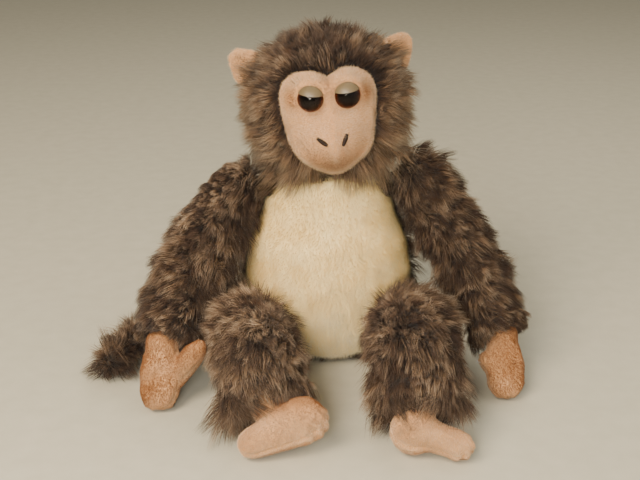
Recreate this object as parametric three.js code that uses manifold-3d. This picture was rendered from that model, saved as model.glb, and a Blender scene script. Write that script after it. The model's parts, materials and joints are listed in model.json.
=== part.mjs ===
// A seated plush monkey: shaggy brown fur, a cream belly, and shorn velour on its face, ears, hands and feet.
// Millimetres, +Z up. The monkey looks along -Y, so its own left is +X.
// The origin is the middle of the flat seat, on the floor.
import * as THREE from "three";
import { mergeVertices } from "three/addons/utils/BufferGeometryUtils.js";
import Module from "manifold-3d";

const wasm = await Module();
wasm.setup();

// Fabrics and fits
const FUR = 6.5; // long-pile fabric: backing and pile together
const BELLY_PLUSH = 4.5; // short cream plush
const VELOUR = 2.6; // shorn fabric of the face, hands and feet
const CLEARANCE = 0.3; // between pieces that touch
const JOINT_CLEARANCE = 0.4; // between a round limb end and the dimple that it turns in
const DIMPLE = 2; // how deep a round limb end sits in the torso

// Torso
const SEAT_WIDTH = 64;
const BELLY_WIDTH = 108;
const BELLY_DEPTH = 90;
const BELLY_HEIGHT = 56; // of the widest place above the floor
const SHOULDER_WIDTH = 80;
const SHOULDER_HEIGHT = 113;
const NECK_WIDTH = 52;
const NECK_HEIGHT = 123;
const BACK_WRAP = 3; // how much of the back's fabric shows from the front, at each side
const BELLY_PANEL_BOTTOM = 5; // above the floor

// Head, measured from the middle of the neck seam
const HEAD_WIDTH = 98;
const HEAD_DEPTH = 90;
const HEAD_HEIGHT = 89;
const HEAD_FORWARD = 5; // of the head's middle, ahead of the neck
const HEAD_ASIDE = 2; // how far the head leans over to the left of the seat
const NECK_SINK = 3; // how far the neck seam flattens the head
const HEAD_TURN = 4; // degrees, to the monkey's left
const HEAD_TILT = -5; // degrees, left ear up

// Face
const FACE_WIDTH = 57;
const FACE_TOP = 68;
const CHIN = 9;
const WIDOWS_PEAK = 4; // dip of the fur line between the brows
const BROW_FRONT = 48; // ahead of the neck
const BROW_WIDTH = 72;
const BROW_TALL = 72;
const BROW_DEPTH = 26;
const BROW_HEIGHT = 44;
const MUZZLE_FRONT = 60; // ahead of the neck
const MUZZLE_WIDTH = 46;
const MUZZLE_TALL = 37;
const MUZZLE_DEPTH = 27;
const MUZZLE_HEIGHT = 27;
const NOSTRIL_LENGTH = 6.5;
const NOSTRIL_THICK = 2.6;
const NOSTRIL_SPREAD = 12.6;
const NOSTRIL_HEIGHT = 31;
const NOSTRIL_SLANT = 48; // degrees

// Eyes and ears
const EYE_DIAMETER = 15;
const EYE_DOME = 5.5;
const EYE_SPREAD = 20.8;
const EYE_HEIGHT = 53.5;
const EYE_TOE_OUT = 9; // degrees
const EYE_RECESS = 1.2; // into the velour
const IRIS_DISC = 1.6;
const POST_DIAMETER = 4;
const POST_PAST_WASHER = 3; // how far the post reaches behind its washer
const WASHER_DIAMETER = 11;
const WASHER_THICK = 1.6;
const LID_THICK = 0.9;
const LID_EDGE = 2; // above the middle of the eye
const EAR_TALL = 24;
const EAR_WIDE = 24;
const EAR_THICK = 7;
const EAR_HEIGHT = 64;
const EAR_REACH = 13; // beyond the head's side at that height
const EAR_SWEEP = 18; // degrees, back from square

// Arms and hands
const ARM_LENGTH = 109; // shoulder to wrist
const SHOULDER_DIAMETER = 39;
const ARM_DIAMETER = 41;
const CUFF_DIAMETER = 37;
const WRIST_DIAMETER = 23;
const HAND_LENGTH = 48; // palm and fingers
const WRIST_SINK = 6; // how far the palm reaches up into the cuff
const HAND_WIDTH = 28;
const HAND_THICK = 20;
const THUMB_DIAMETER = 15;
const THUMB_REACH = 25;
const THUMB_DROP = 17; // below the wrist
const FILLING_HOLE = 9; // through the round end of a hand, a foot and the tail

// Legs and feet
const HIP_DIAMETER = 52;
const HIP_ANGLE = 45; // degrees from straight ahead
const HIP_HEIGHT = 26;
const THIGH_DIAMETER = 50;
const ANKLE_CUFF_DIAMETER = 44;
const LEG_LENGTH = 72; // hip to ankle
const ANKLE_DIAMETER = 26;
const ANKLE_HEIGHT = 21;
const FOOT_PAD_DIAMETER = 30;
const FOOT_PAD_THICK = 25;
const FOOT_PAD_FORWARD = 15; // of the pad's middle, ahead of the ankle
const TOE_DIAMETER = 19;
const TOE_REACH = 24; // from the pad's middle to the toe's
const TOE_FORWARD = 6; // of the toe's middle, ahead of the pad's

// Tail
const TAIL_DIAMETER = 26;
const TAIL_TIP_DIAMETER = 21;
const TAIL_ANGLE = 188; // degrees from straight ahead, towards the monkey's right
const TAIL_LEAVE = 53; // degrees from straight back, to the right
const TAIL_SWEEP = 52; // how far the tail holds that direction
const TAIL_CURL = 75; // how far its last stretch runs forwards
const TAIL_TIP_FORWARD = 62; // ahead of the torso's middle
const TAIL_GAP = 4; // between the tail's tip and the right cuff

// How each side lies: the left arm is spread wider, and the right leg is toed in
const LEFT = {
  name: "left",
  sign: 1,
  armGap: 13, // between thigh and cuff
  elbowOut: 6,
  handPitch: 48, // degrees forwards of straight down
  toeIn: 0, // degrees
  shoulderDrop: 0, // how far the shoulder sags
  kneeLift: 20,
  padIn: 3, // of the foot's pad, from the ankle towards the middle
  padLift: 0,
  soleFlat: false, // whether the sole is pressed into one wedge from pad to toe
};
const RIGHT = {
  name: "right",
  sign: -1,
  armGap: 5.5,
  elbowOut: 11,
  handPitch: 40,
  toeIn: 13,
  shoulderDrop: 5,
  kneeLift: 12,
  padIn: 16,
  padLift: 5,
  soleFlat: true,
};
const ELBOW_BACK = 12; // how far the elbow lags behind the straight line from shoulder to wrist

// Facets round each form
const TORSO_FACETS = 22;
const HEAD_FACETS = 22;
const BODY_FILLING_FACETS = 14; // of the torso's and the head's filling
const FACE_FACETS = 18;
const CHEEK_FACETS = 12; // of the filling behind the face
const LIMB_FACETS = 14;
const LIMB_FILLING_FACETS = 10;
const MITT_FACETS = 10; // of a hand and a foot
const MITT_FILLING_FACETS = 8;
const TAIL_FACETS = 10;
const TAIL_FILLING_FACETS = 6;
const DENT_FACETS = 20;
const EYE_FACETS = 18;
const EAR_FACETS = 14;
const STITCH_FACETS = 8;

const BROWN_FUR = { color: 0x6b5341, roughness: 0.95, metalness: 0 };
const CREAM_PLUSH = { color: 0xe6d7ab, roughness: 0.95, metalness: 0 };
const PEACH_VELOUR = { color: 0xd3a987, roughness: 0.9, metalness: 0 };
const FIBREFILL = { color: 0xf2f0ea, roughness: 1, metalness: 0 };
const CLEAR_PLASTIC = { color: 0xf4f6f6, roughness: 0.05, metalness: 0 };
const BROWN_PLASTIC = { color: 0x3a1a10, roughness: 0.25, metalness: 0 };
const OLIVE_PLASTIC = { color: 0x8d8363, roughness: 0.4, metalness: 0 };
const WHITE_PLASTIC = { color: 0xe8e6e0, roughness: 0.5, metalness: 0 };
const DARK_THREAD = { color: 0x3e2818, roughness: 0.8, metalness: 0 };

const FAR = 400; // longer than the whole monkey, for cutters
const CUFF_PAST = 1; // how far a cuff's hollow is cut past its end
const degrees = THREE.MathUtils.degToRad;
const X_AXIS = new THREE.Vector3(1, 0, 0);
const Y_AXIS = new THREE.Vector3(0, 1, 0);
const Z_AXIS = new THREE.Vector3(0, 0, 1);

/** A closed solid from a geometry, with its shared corners merged. */
function solid(geometry) {
  const bare = geometry.clone();
  bare.deleteAttribute("normal");
  bare.deleteAttribute("uv");
  const merged = mergeVertices(bare, 1e-4);
  const corners = merged.index.array;
  const triangles = [];
  for (let i = 0; i < corners.length; i += 3) {
    const [a, b, c] = corners.slice(i, i + 3);
    if (a !== b && b !== c && c !== a) triangles.push(a, b, c);
  }
  const vertProperties = merged.attributes.position.array;
  const triVerts = new Uint32Array(triangles);
  return new wasm.Manifold(new wasm.Mesh({ numProp: 3, vertProperties, triVerts }));
}

/** A named mesh of a solid, with a material of its own. */
function piece(name, body, material) {
  const { vertProperties, triVerts } = body.getMesh();
  const geometry = new THREE.BufferGeometry();
  geometry.setAttribute("position", new THREE.BufferAttribute(vertProperties, 3));
  geometry.setIndex(new THREE.BufferAttribute(triVerts, 1));
  geometry.computeVertexNormals();
  const mesh = new THREE.Mesh(geometry, new THREE.MeshStandardMaterial(material));
  mesh.name = name;
  return mesh;
}

/** An ellipsoid from its middle and its half sizes. */
function ellipsoid(middle, half, sides) {
  const geometry = new THREE.SphereGeometry(1, sides, Math.ceil(0.6 * sides)).rotateX(Math.PI / 2);
  return solid(geometry.scale(half.x, half.y, half.z).translate(middle.x, middle.y, middle.z));
}

/** A ball from its middle and its radius. */
function ball(middle, radius, sides) {
  return ellipsoid(middle, new THREE.Vector3(radius, radius, radius), sides);
}

/** A ball whose flat facets lie outside the given radius, so that a round end turns freely in its dent. */
function roomyBall(middle, radius) {
  return ball(middle, radius / Math.cos(Math.PI / DENT_FACETS) ** 2, DENT_FACETS);
}

/** A round rod between two points. */
function rod(from, to, radius) {
  const along = to.clone().sub(from);
  const geometry = new THREE.CylinderGeometry(radius, radius, along.length(), 8);
  geometry.applyQuaternion(new THREE.Quaternion().setFromUnitVectors(Y_AXIS, along.normalize()));
  const middle = from.clone().add(to).multiplyScalar(0.5);
  return solid(geometry.translate(middle.x, middle.y, middle.z));
}

/** A round-ended rod between the middles of its two ends. */
function capsule(from, to, radius, sides) {
  const along = to.clone().sub(from);
  const geometry = new THREE.CapsuleGeometry(radius, along.length(), Math.ceil(sides / 4), sides);
  geometry.applyQuaternion(new THREE.Quaternion().setFromUnitVectors(Y_AXIS, along.normalize()));
  const middle = from.clone().add(to).multiplyScalar(0.5);
  return solid(geometry.translate(middle.x, middle.y, middle.z));
}

/** Everything under a level, to cut a form flat. */
function below(level) {
  return solid(new THREE.BoxGeometry(2 * FAR, 2 * FAR, FAR).translate(0, 0, level - FAR / 2));
}

/** A form turned by its outline of radius over length, then bent so that its length follows a curve. */
function bentForm(outline, curve, across, sides) {
  const geometry = new THREE.LatheGeometry(outline, sides);
  const position = geometry.attributes.position;
  const length = curve.getLength();
  const corner = new THREE.Vector3();
  for (let i = 0; i < position.count; i++) {
    corner.fromBufferAttribute(position, i);
    const along = Math.min(1, corner.y / length);
    const place = curve.getPoint(along);
    const forward = curve.getTangent(along);
    const second = new THREE.Vector3().crossVectors(across, forward).normalize();
    const first = new THREE.Vector3().crossVectors(forward, second);
    place.addScaledVector(first, corner.x).addScaledVector(second, corner.z);
    position.setXYZ(i, place.x, place.y, place.z);
  }
  return solid(geometry);
}

/** A limb's curve: straight through its round end at the origin, bent, then straight past its cuff. */
function limbCurve(endRadius, bend, cuff) {
  const start = new THREE.Vector3();
  const away = cuff.clone().sub(bend).normalize();
  const curve = new THREE.CurvePath();
  curve.add(new THREE.LineCurve3(bend.clone().setLength(-endRadius), start));
  curve.add(new THREE.QuadraticBezierCurve3(start, bend, cuff));
  curve.add(new THREE.LineCurve3(cuff, cuff.clone().addScaledVector(away, CUFF_PAST)));
  return curve;
}

/** A limb's outline: a round end, a swell half way and a flat cuff, drawn in all round by an inset. */
function limbOutline(endRadius, midRadius, cuffRadius, length, inset) {
  const round = endRadius - inset;
  const outline = new THREE.Path();
  outline.absarc(0, endRadius, round, -Math.PI / 2, 0, false);
  const middle = new THREE.Vector2(midRadius - inset, (endRadius + length) / 2);
  outline.splineThru([middle, new THREE.Vector2(cuffRadius - inset, length)]);
  outline.lineTo(0, length);
  return outline.getPoints(2);
}

/** A limb's fur sleeve, open at the cuff where a ball sits in it, and the filling that ends at that ball. */
function sleeveAndFilling(endRadius, midRadius, cuffRadius, ballRadius, bend, cuff) {
  const curve = limbCurve(endRadius, bend, cuff);
  const length = curve.getLength() - CUFF_PAST;
  const facetsClear = Math.cos(Math.PI / LIMB_FILLING_FACETS);
  const wall = cuffRadius - (ballRadius + JOINT_CLEARANCE) / facetsClear;
  const form = (inset, reach, sides) =>
    bentForm(limbOutline(endRadius, midRadius, cuffRadius, reach, inset), curve, X_AXIS, sides);
  const hollow = form(wall, length + CUFF_PAST, LIMB_FILLING_FACETS);
  const sleeve = form(0, length, LIMB_FACETS).subtract(hollow);
  const back = bend.clone().sub(cuff).normalize();
  const ballTop = back.dot(cuff) + ballRadius + JOINT_CLEARANCE;
  const filling = form(wall + CLEARANCE, length, LIMB_FILLING_FACETS).trimByPlane(back.toArray(), ballTop);
  return { sleeve, filling };
}

/** A turned piece of an eye about its own axis, +Y outwards, from radius and height pairs. */
function turned(pairs) {
  const outline = pairs.map(([radius, height]) => new THREE.Vector2(radius, height));
  return new THREE.LatheGeometry(outline, EYE_FACETS);
}

const monkey = new THREE.Group();

// Torso: a turned pear, flat on the floor, flattened a little from front to back
const torsoOutline = new THREE.Path();
torsoOutline.moveTo(0, 0);
torsoOutline.lineTo(SEAT_WIDTH / 2, 0);
const seatBulge = (BELLY_WIDTH - SEAT_WIDTH) / 2;
torsoOutline.absellipse(SEAT_WIDTH / 2, BELLY_HEIGHT, seatBulge, BELLY_HEIGHT, -Math.PI / 2, 0, false);
const flankMiddle = (BELLY_HEIGHT + SHOULDER_HEIGHT) / 2;
torsoOutline.bezierCurveTo(
  BELLY_WIDTH / 2, flankMiddle, SHOULDER_WIDTH / 2, flankMiddle, SHOULDER_WIDTH / 2, SHOULDER_HEIGHT,
);
const neckTop = NECK_HEIGHT + NECK_WIDTH / 4; // the neck seam cuts it back
torsoOutline.quadraticCurveTo(SHOULDER_WIDTH / 2, NECK_HEIGHT, NECK_WIDTH / 2, neckTop);
torsoOutline.lineTo(0, neckTop);

/** The torso's form, drawn in by a wall. */
function torsoForm(wall, sides) {
  const widthLeft = (BELLY_WIDTH - 2 * wall) / BELLY_WIDTH;
  const depthLeft = (BELLY_DEPTH - 2 * wall) / BELLY_WIDTH;
  const heightLeft = (neckTop - 2 * wall) / neckTop;
  const geometry = new THREE.LatheGeometry(torsoOutline.getPoints(3), sides);
  return solid(geometry.scale(widthLeft, heightLeft, depthLeft).rotateX(Math.PI / 2).translate(0, 0, wall));
}

/** The torso's half width at a height. */
function torsoHalfWidth(height) {
  const points = torsoOutline.getPoints(24).filter((point) => point.x > 0);
  const above = points.findIndex((point) => point.y > height);
  const [low, high] = [points[above - 1], points[above]];
  return THREE.MathUtils.mapLinear(height, low.y, high.y, low.x, high.x);
}

/** Where a round limb end rests in the torso: at a height, an angle from straight ahead and a side. */
function seatOnTorso(height, angle, sign, radius) {
  const halfWidth = torsoHalfWidth(height);
  const halfDepth = (halfWidth * BELLY_DEPTH) / BELLY_WIDTH;
  const out = 1 / Math.hypot(Math.sin(angle) / halfWidth, Math.cos(angle) / halfDepth) + radius - DIMPLE;
  return new THREE.Vector3(sign * out * Math.sin(angle), -out * Math.cos(angle), height);
}

const head = new THREE.Group();
head.position.set(HEAD_ASIDE, 0, NECK_HEIGHT);
head.rotation.set(0, degrees(HEAD_TILT), degrees(HEAD_TURN), "ZYX");
head.updateMatrix();
const overNeck = new THREE.BoxGeometry(FAR, FAR, FAR).translate(0, 0, FAR / 2);
const neckSeam = solid(overNeck.applyMatrix4(head.matrix));

const limbs = [LEFT, RIGHT].map((side) => {
  const shoulderHeight = SHOULDER_HEIGHT - side.shoulderDrop;
  const shoulder = seatOnTorso(shoulderHeight, Math.PI / 2, side.sign, SHOULDER_DIAMETER / 2);
  const hip = seatOnTorso(HIP_HEIGHT, degrees(HIP_ANGLE), side.sign, HIP_DIAMETER / 2);
  return { ...side, shoulder, hip };
});
const tailRadius = TAIL_DIAMETER / 2;
const tailSeat = seatOnTorso(tailRadius, degrees(TAIL_ANGLE), 1, tailRadius);

let dents = roomyBall(tailSeat, tailRadius + JOINT_CLEARANCE);
for (const { shoulder, hip } of limbs) {
  dents = dents.add(roomyBall(shoulder, SHOULDER_DIAMETER / 2 + JOINT_CLEARANCE));
  dents = dents.add(roomyBall(hip, HIP_DIAMETER / 2 + JOINT_CLEARANCE));
}
const torsoRoom = dents.add(neckSeam);

/** The belly panel's seam, along the torso's sides and under the belly, as a prism through its front. */
function bellySeam(inset) {
  const bellyHalf = BELLY_WIDTH / 2 - BACK_WRAP - inset;
  const neckHalf = SHOULDER_WIDTH / 2 - BACK_WRAP - inset;
  const bottom = BELLY_HEIGHT - BELLY_PANEL_BOTTOM - inset;
  const seam = new THREE.Shape();
  seam.moveTo(-neckHalf, FAR);
  seam.lineTo(-neckHalf, SHOULDER_HEIGHT);
  seam.bezierCurveTo(-neckHalf, flankMiddle, -bellyHalf, flankMiddle, -bellyHalf, BELLY_HEIGHT);
  seam.absellipse(0, BELLY_HEIGHT, bellyHalf, bottom, Math.PI, 0, false);
  seam.bezierCurveTo(bellyHalf, flankMiddle, neckHalf, flankMiddle, neckHalf, SHOULDER_HEIGHT);
  seam.lineTo(neckHalf, FAR);
  const settings = { depth: FAR, bevelEnabled: false, curveSegments: 6 };
  return solid(new THREE.ExtrudeGeometry(seam, settings).rotateX(Math.PI / 2));
}

const torsoOuter = torsoForm(0, TORSO_FACETS).subtract(torsoRoom);
const torsoFur = torsoOuter.subtract(torsoForm(FUR, BODY_FILLING_FACETS));
const torsoPlush = torsoOuter.subtract(torsoForm(BELLY_PLUSH, BODY_FILLING_FACETS));
const torsoFill = torsoForm(FUR + CLEARANCE, BODY_FILLING_FACETS).subtract(torsoRoom);
monkey.add(piece("back_panel", torsoFur.subtract(bellySeam(0)), BROWN_FUR));
monkey.add(piece("belly_panel", torsoPlush.intersect(bellySeam(CLEARANCE)), CREAM_PLUSH));
monkey.add(piece("torso_filling", torsoFill, FIBREFILL));

// Head: a fur hood round a velour face, over one filling
const headHalf = new THREE.Vector3(HEAD_WIDTH / 2, HEAD_DEPTH / 2, HEAD_HEIGHT / 2);
const headMiddle = new THREE.Vector3(0, -HEAD_FORWARD, HEAD_HEIGHT / 2 - NECK_SINK);
const browHalf = new THREE.Vector3(BROW_WIDTH / 2, BROW_DEPTH, BROW_TALL / 2);
const browMiddle = new THREE.Vector3(0, BROW_DEPTH - BROW_FRONT, BROW_HEIGHT);
const muzzleHalf = new THREE.Vector3(MUZZLE_WIDTH / 2, MUZZLE_DEPTH, MUZZLE_TALL / 2);
const muzzleMiddle = new THREE.Vector3(0, MUZZLE_DEPTH - MUZZLE_FRONT, MUZZLE_HEIGHT);

/** The head's form, drawn in by a wall. */
function headForm(wall, sides) {
  return ellipsoid(headMiddle, headHalf.clone().subScalar(wall), sides);
}

/** The face's form, a brow and a muzzle, drawn in by a wall. */
function faceForm(wall, sides) {
  const brow = ellipsoid(browMiddle, browHalf.clone().subScalar(wall), sides);
  return brow.add(ellipsoid(muzzleMiddle, muzzleHalf.clone().subScalar(wall), sides));
}

/** How far back the front of an ellipsoid lies at a place, drawn in by a wall. */
function frontOf(middle, half, x, z, wall) {
  const away = Math.hypot((x - middle.x) / (half.x - wall), (z - middle.z) / (half.z - wall));
  return middle.y - (half.y - wall) * Math.sqrt(1 - away ** 2);
}

/** The face's heart-shaped seam, as a prism that runs forwards from a plane ahead of the neck. */
function faceSeam(inset, back) {
  const half = FACE_WIDTH / 2 - inset;
  const top = FACE_TOP - inset;
  const peak = top - WIDOWS_PEAK;
  const chin = CHIN + inset;
  const cheek = (EYE_HEIGHT + chin) / 2;
  const heart = new THREE.Shape();
  heart.moveTo(0, peak);
  heart.bezierCurveTo(half / 3, top + WIDOWS_PEAK, half, top, half, EYE_HEIGHT);
  heart.bezierCurveTo(half, cheek, half / 3, chin, 0, chin);
  heart.bezierCurveTo(-half / 3, chin, -half, cheek, -half, EYE_HEIGHT);
  heart.bezierCurveTo(-half, top, -half / 3, top + WIDOWS_PEAK, 0, peak);
  const settings = { depth: FAR, bevelEnabled: false, curveSegments: 4 };
  return solid(new THREE.ExtrudeGeometry(heart, settings).rotateX(Math.PI / 2).translate(0, -back, 0));
}

const faceBack = BROW_FRONT - BROW_DEPTH; // where the brow is widest
const underNeck = below(CLEARANCE);
const headFur = headForm(0, HEAD_FACETS).subtract(headForm(FUR, BODY_FILLING_FACETS));
const hood = headFur.subtract(faceSeam(0, faceBack)).subtract(underNeck);
const faceVelour = faceForm(0, FACE_FACETS).subtract(faceForm(VELOUR, CHEEK_FACETS));
let face = faceVelour.intersect(faceSeam(CLEARANCE, faceBack));
const skull = headForm(FUR + CLEARANCE, BODY_FILLING_FACETS).subtract(faceSeam(0, faceBack));
const cheeks = faceForm(VELOUR + CLEARANCE, CHEEK_FACETS).intersect(faceSeam(2 * CLEARANCE, 0));
let headFilling = skull.add(cheeks).subtract(underNeck);

// Eyes: a clear dome on a painted disc, whose post a washer locks behind the velour, under a fixed half lid
const eyeRadius = EYE_DIAMETER / 2;
const domeBase = IRIS_DISC + CLEARANCE;
const domeRadius = (eyeRadius ** 2 + EYE_DOME ** 2) / (2 * EYE_DOME);
const domeMiddle = new THREE.Vector3(0, domeBase + EYE_DOME - domeRadius, 0);
const postRadius = POST_DIAMETER / 2;
const washerRadius = WASHER_DIAMETER / 2;
const lidInside = domeRadius + CLEARANCE;

/** The part of a ball round the dome that lies above the lid's edge and in front of the disc's back. */
function lidBall(radius, slack, matrix) {
  const whole = ball(domeMiddle, radius, EYE_FACETS);
  const reach = new THREE.BoxGeometry(FAR, FAR, FAR).translate(0, FAR / 2, FAR / 2 + LID_EDGE);
  return whole.intersect(solid(reach.translate(0, -slack, -slack))).transform(matrix.elements);
}

for (const { name, sign } of [LEFT, RIGHT]) {
  const eye = new THREE.Group();
  const x = (sign * EYE_SPREAD) / 2;
  eye.position.set(x, frontOf(browMiddle, browHalf, x, EYE_HEIGHT, 0) + EYE_RECESS, EYE_HEIGHT);
  eye.rotation.z = Math.PI + sign * degrees(EYE_TOE_OUT);
  eye.updateMatrix();
  head.add(eye);

  // The washer lies against the back of the velour at the highest place round its rim
  const intoEye = eye.matrix.clone().invert();
  const rim = [0, 1, 2, 3].map((quarter) => {
    const rimX = x + washerRadius * Math.cos((quarter * Math.PI) / 2);
    const rimZ = EYE_HEIGHT + washerRadius * Math.sin((quarter * Math.PI) / 2);
    const behind = frontOf(browMiddle, browHalf, rimX, rimZ, VELOUR);
    return new THREE.Vector3(rimX, behind, rimZ).applyMatrix4(intoEye).y;
  });
  const washerFront = Math.min(...rim) - CLEARANCE;
  const washerBack = washerFront - WASHER_THICK;
  const postEnd = washerBack - POST_PAST_WASHER;
  const washerHole = postRadius + CLEARANCE / 2;

  const disc = turned([
    [0, postEnd],
    [postRadius, postEnd],
    [postRadius, 0],
    [eyeRadius, 0],
    [eyeRadius, IRIS_DISC],
    [0, IRIS_DISC],
  ]);
  const washer = turned([
    [washerHole, washerBack],
    [washerRadius, washerBack],
    [washerRadius, washerFront],
    [washerHole, washerFront],
    [washerHole, washerBack],
  ]);
  const dome = new THREE.Path();
  dome.moveTo(0, domeBase);
  dome.lineTo(eyeRadius, domeBase);
  const rimAngle = Math.asin((domeBase - domeMiddle.y) / domeRadius);
  dome.absarc(0, domeMiddle.y, domeRadius, rimAngle, Math.PI / 2, false);
  const still = new THREE.Matrix4();
  const lid = lidBall(lidInside + LID_THICK, 0, still).subtract(lidBall(lidInside, CLEARANCE, still));
  eye.add(piece("eye_disc_" + name, solid(disc), BROWN_PLASTIC));
  const domeForm = new THREE.LatheGeometry(dome.getPoints(2), EYE_FACETS);
  eye.add(piece("eye_dome_" + name, solid(domeForm), CLEAR_PLASTIC));
  eye.add(piece("eye_washer_" + name, solid(washer), WHITE_PLASTIC));
  eye.add(piece("eyelid_" + name, lid, OLIVE_PLASTIC));

  // Room for the eye in the velour and in the filling
  const seat = turned([
    [0, -FAR],
    [postRadius + CLEARANCE, -FAR],
    [postRadius + CLEARANCE, -CLEARANCE],
    [eyeRadius + CLEARANCE, -CLEARANCE],
    [eyeRadius + CLEARANCE, FAR],
    [0, FAR],
  ]);
  const hardware = (front) => {
    const room = turned([
      [0, postEnd - CLEARANCE],
      [postRadius + CLEARANCE, postEnd - CLEARANCE],
      [postRadius + CLEARANCE, washerBack - CLEARANCE],
      [washerRadius + CLEARANCE, washerBack - CLEARANCE],
      [washerRadius + CLEARANCE, front],
      [0, front],
    ]);
    return solid(room.applyMatrix4(eye.matrix));
  };
  const lidRoom = lidBall(lidInside + LID_THICK + CLEARANCE, CLEARANCE, eye.matrix);
  face = face.subtract(solid(seat.applyMatrix4(eye.matrix))).subtract(hardware(washerFront + CLEARANCE));
  face = face.subtract(lidRoom);
  headFilling = headFilling.subtract(hardware(FAR)).subtract(lidRoom);

  const nostrilX = (sign * NOSTRIL_SPREAD) / 2;
  const nostrilY = frontOf(muzzleMiddle, muzzleHalf, nostrilX, NOSTRIL_HEIGHT, 0);
  const stitches = new THREE.SphereGeometry(NOSTRIL_THICK / 2, STITCH_FACETS, STITCH_FACETS - 2);
  stitches.scale(NOSTRIL_LENGTH / NOSTRIL_THICK, 1, 1).rotateY(-sign * degrees(NOSTRIL_SLANT));
  stitches.translate(nostrilX, nostrilY, NOSTRIL_HEIGHT);
  const nostril = solid(stitches).subtract(faceForm(-CLEARANCE, FACE_FACETS));
  head.add(piece("nostril_stitch_" + name, nostril, DARK_THREAD));

  const headSide = headHalf.x * Math.sqrt(1 - ((EAR_HEIGHT - headMiddle.z) / headHalf.z) ** 2);
  const earMiddle = sign * (headSide + EAR_REACH - EAR_WIDE / 2);
  const earHalf = new THREE.Vector3(EAR_WIDE / 2, EAR_THICK / 2, EAR_TALL / 2);
  const swept = new THREE.Matrix4().makeRotationZ(sign * degrees(EAR_SWEEP));
  swept.setPosition(earMiddle, 0, EAR_HEIGHT);
  const ear = ellipsoid(new THREE.Vector3(), earHalf, EAR_FACETS).transform(swept.elements);
  head.add(piece("ear_" + name, ear.subtract(headForm(-CLEARANCE, HEAD_FACETS)), PEACH_VELOUR));
}
head.add(piece("head_hood", hood, BROWN_FUR));
head.add(piece("face_panel", face, PEACH_VELOUR));
head.add(piece("head_filling", headFilling, FIBREFILL));
monkey.add(head);

const palmMiddle = new THREE.Vector3(0, 0, WRIST_SINK - HAND_LENGTH / 2);

/** A hand's palm and thumb, drawn in by a wall: fingers down, thumb towards the body. */
function handForm(wall, inwards, sides) {
  const palmHalf = new THREE.Vector3(HAND_WIDTH / 2, HAND_THICK / 2, HAND_LENGTH / 2).subScalar(wall);
  const thumbRadius = THUMB_DIAMETER / 2;
  const thumbHalf = new THREE.Vector3(THUMB_REACH / 2, thumbRadius, thumbRadius).subScalar(wall);
  const thumbMiddle = new THREE.Vector3((inwards * THUMB_REACH) / 2, 0, -THUMB_DROP);
  return ellipsoid(palmMiddle, palmHalf, sides).add(ellipsoid(thumbMiddle, thumbHalf, sides));
}

/** A foot's pad and toe, drawn in by a wall: sole ahead, toe outwards, and pressed into one wedge or not. */
function footForm(wall, padMiddle, toeMiddle, soleFlat, sides) {
  const padRadius = FOOT_PAD_DIAMETER / 2;
  const padHalf = new THREE.Vector3(padRadius, FOOT_PAD_THICK / 2, padRadius).subScalar(wall);
  const toe = capsule(padMiddle, toeMiddle, TOE_DIAMETER / 2 - wall, sides);
  const foot = ellipsoid(padMiddle, padHalf, sides).add(toe);
  return soleFlat ? foot.hull() : foot;
}

/** The velour skin of a hand or foot, with a ball at its joint and a hole there for the filling. */
function mitt(form, middle, ballRadius) {
  const outside = form(0, MITT_FACETS).add(ball(new THREE.Vector3(), ballRadius, MITT_FACETS));
  const hole = rod(middle.clone().setLength(-2 * ballRadius), middle, FILLING_HOLE / 2);
  return outside.subtract(form(VELOUR, MITT_FILLING_FACETS)).subtract(hole);
}

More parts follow.
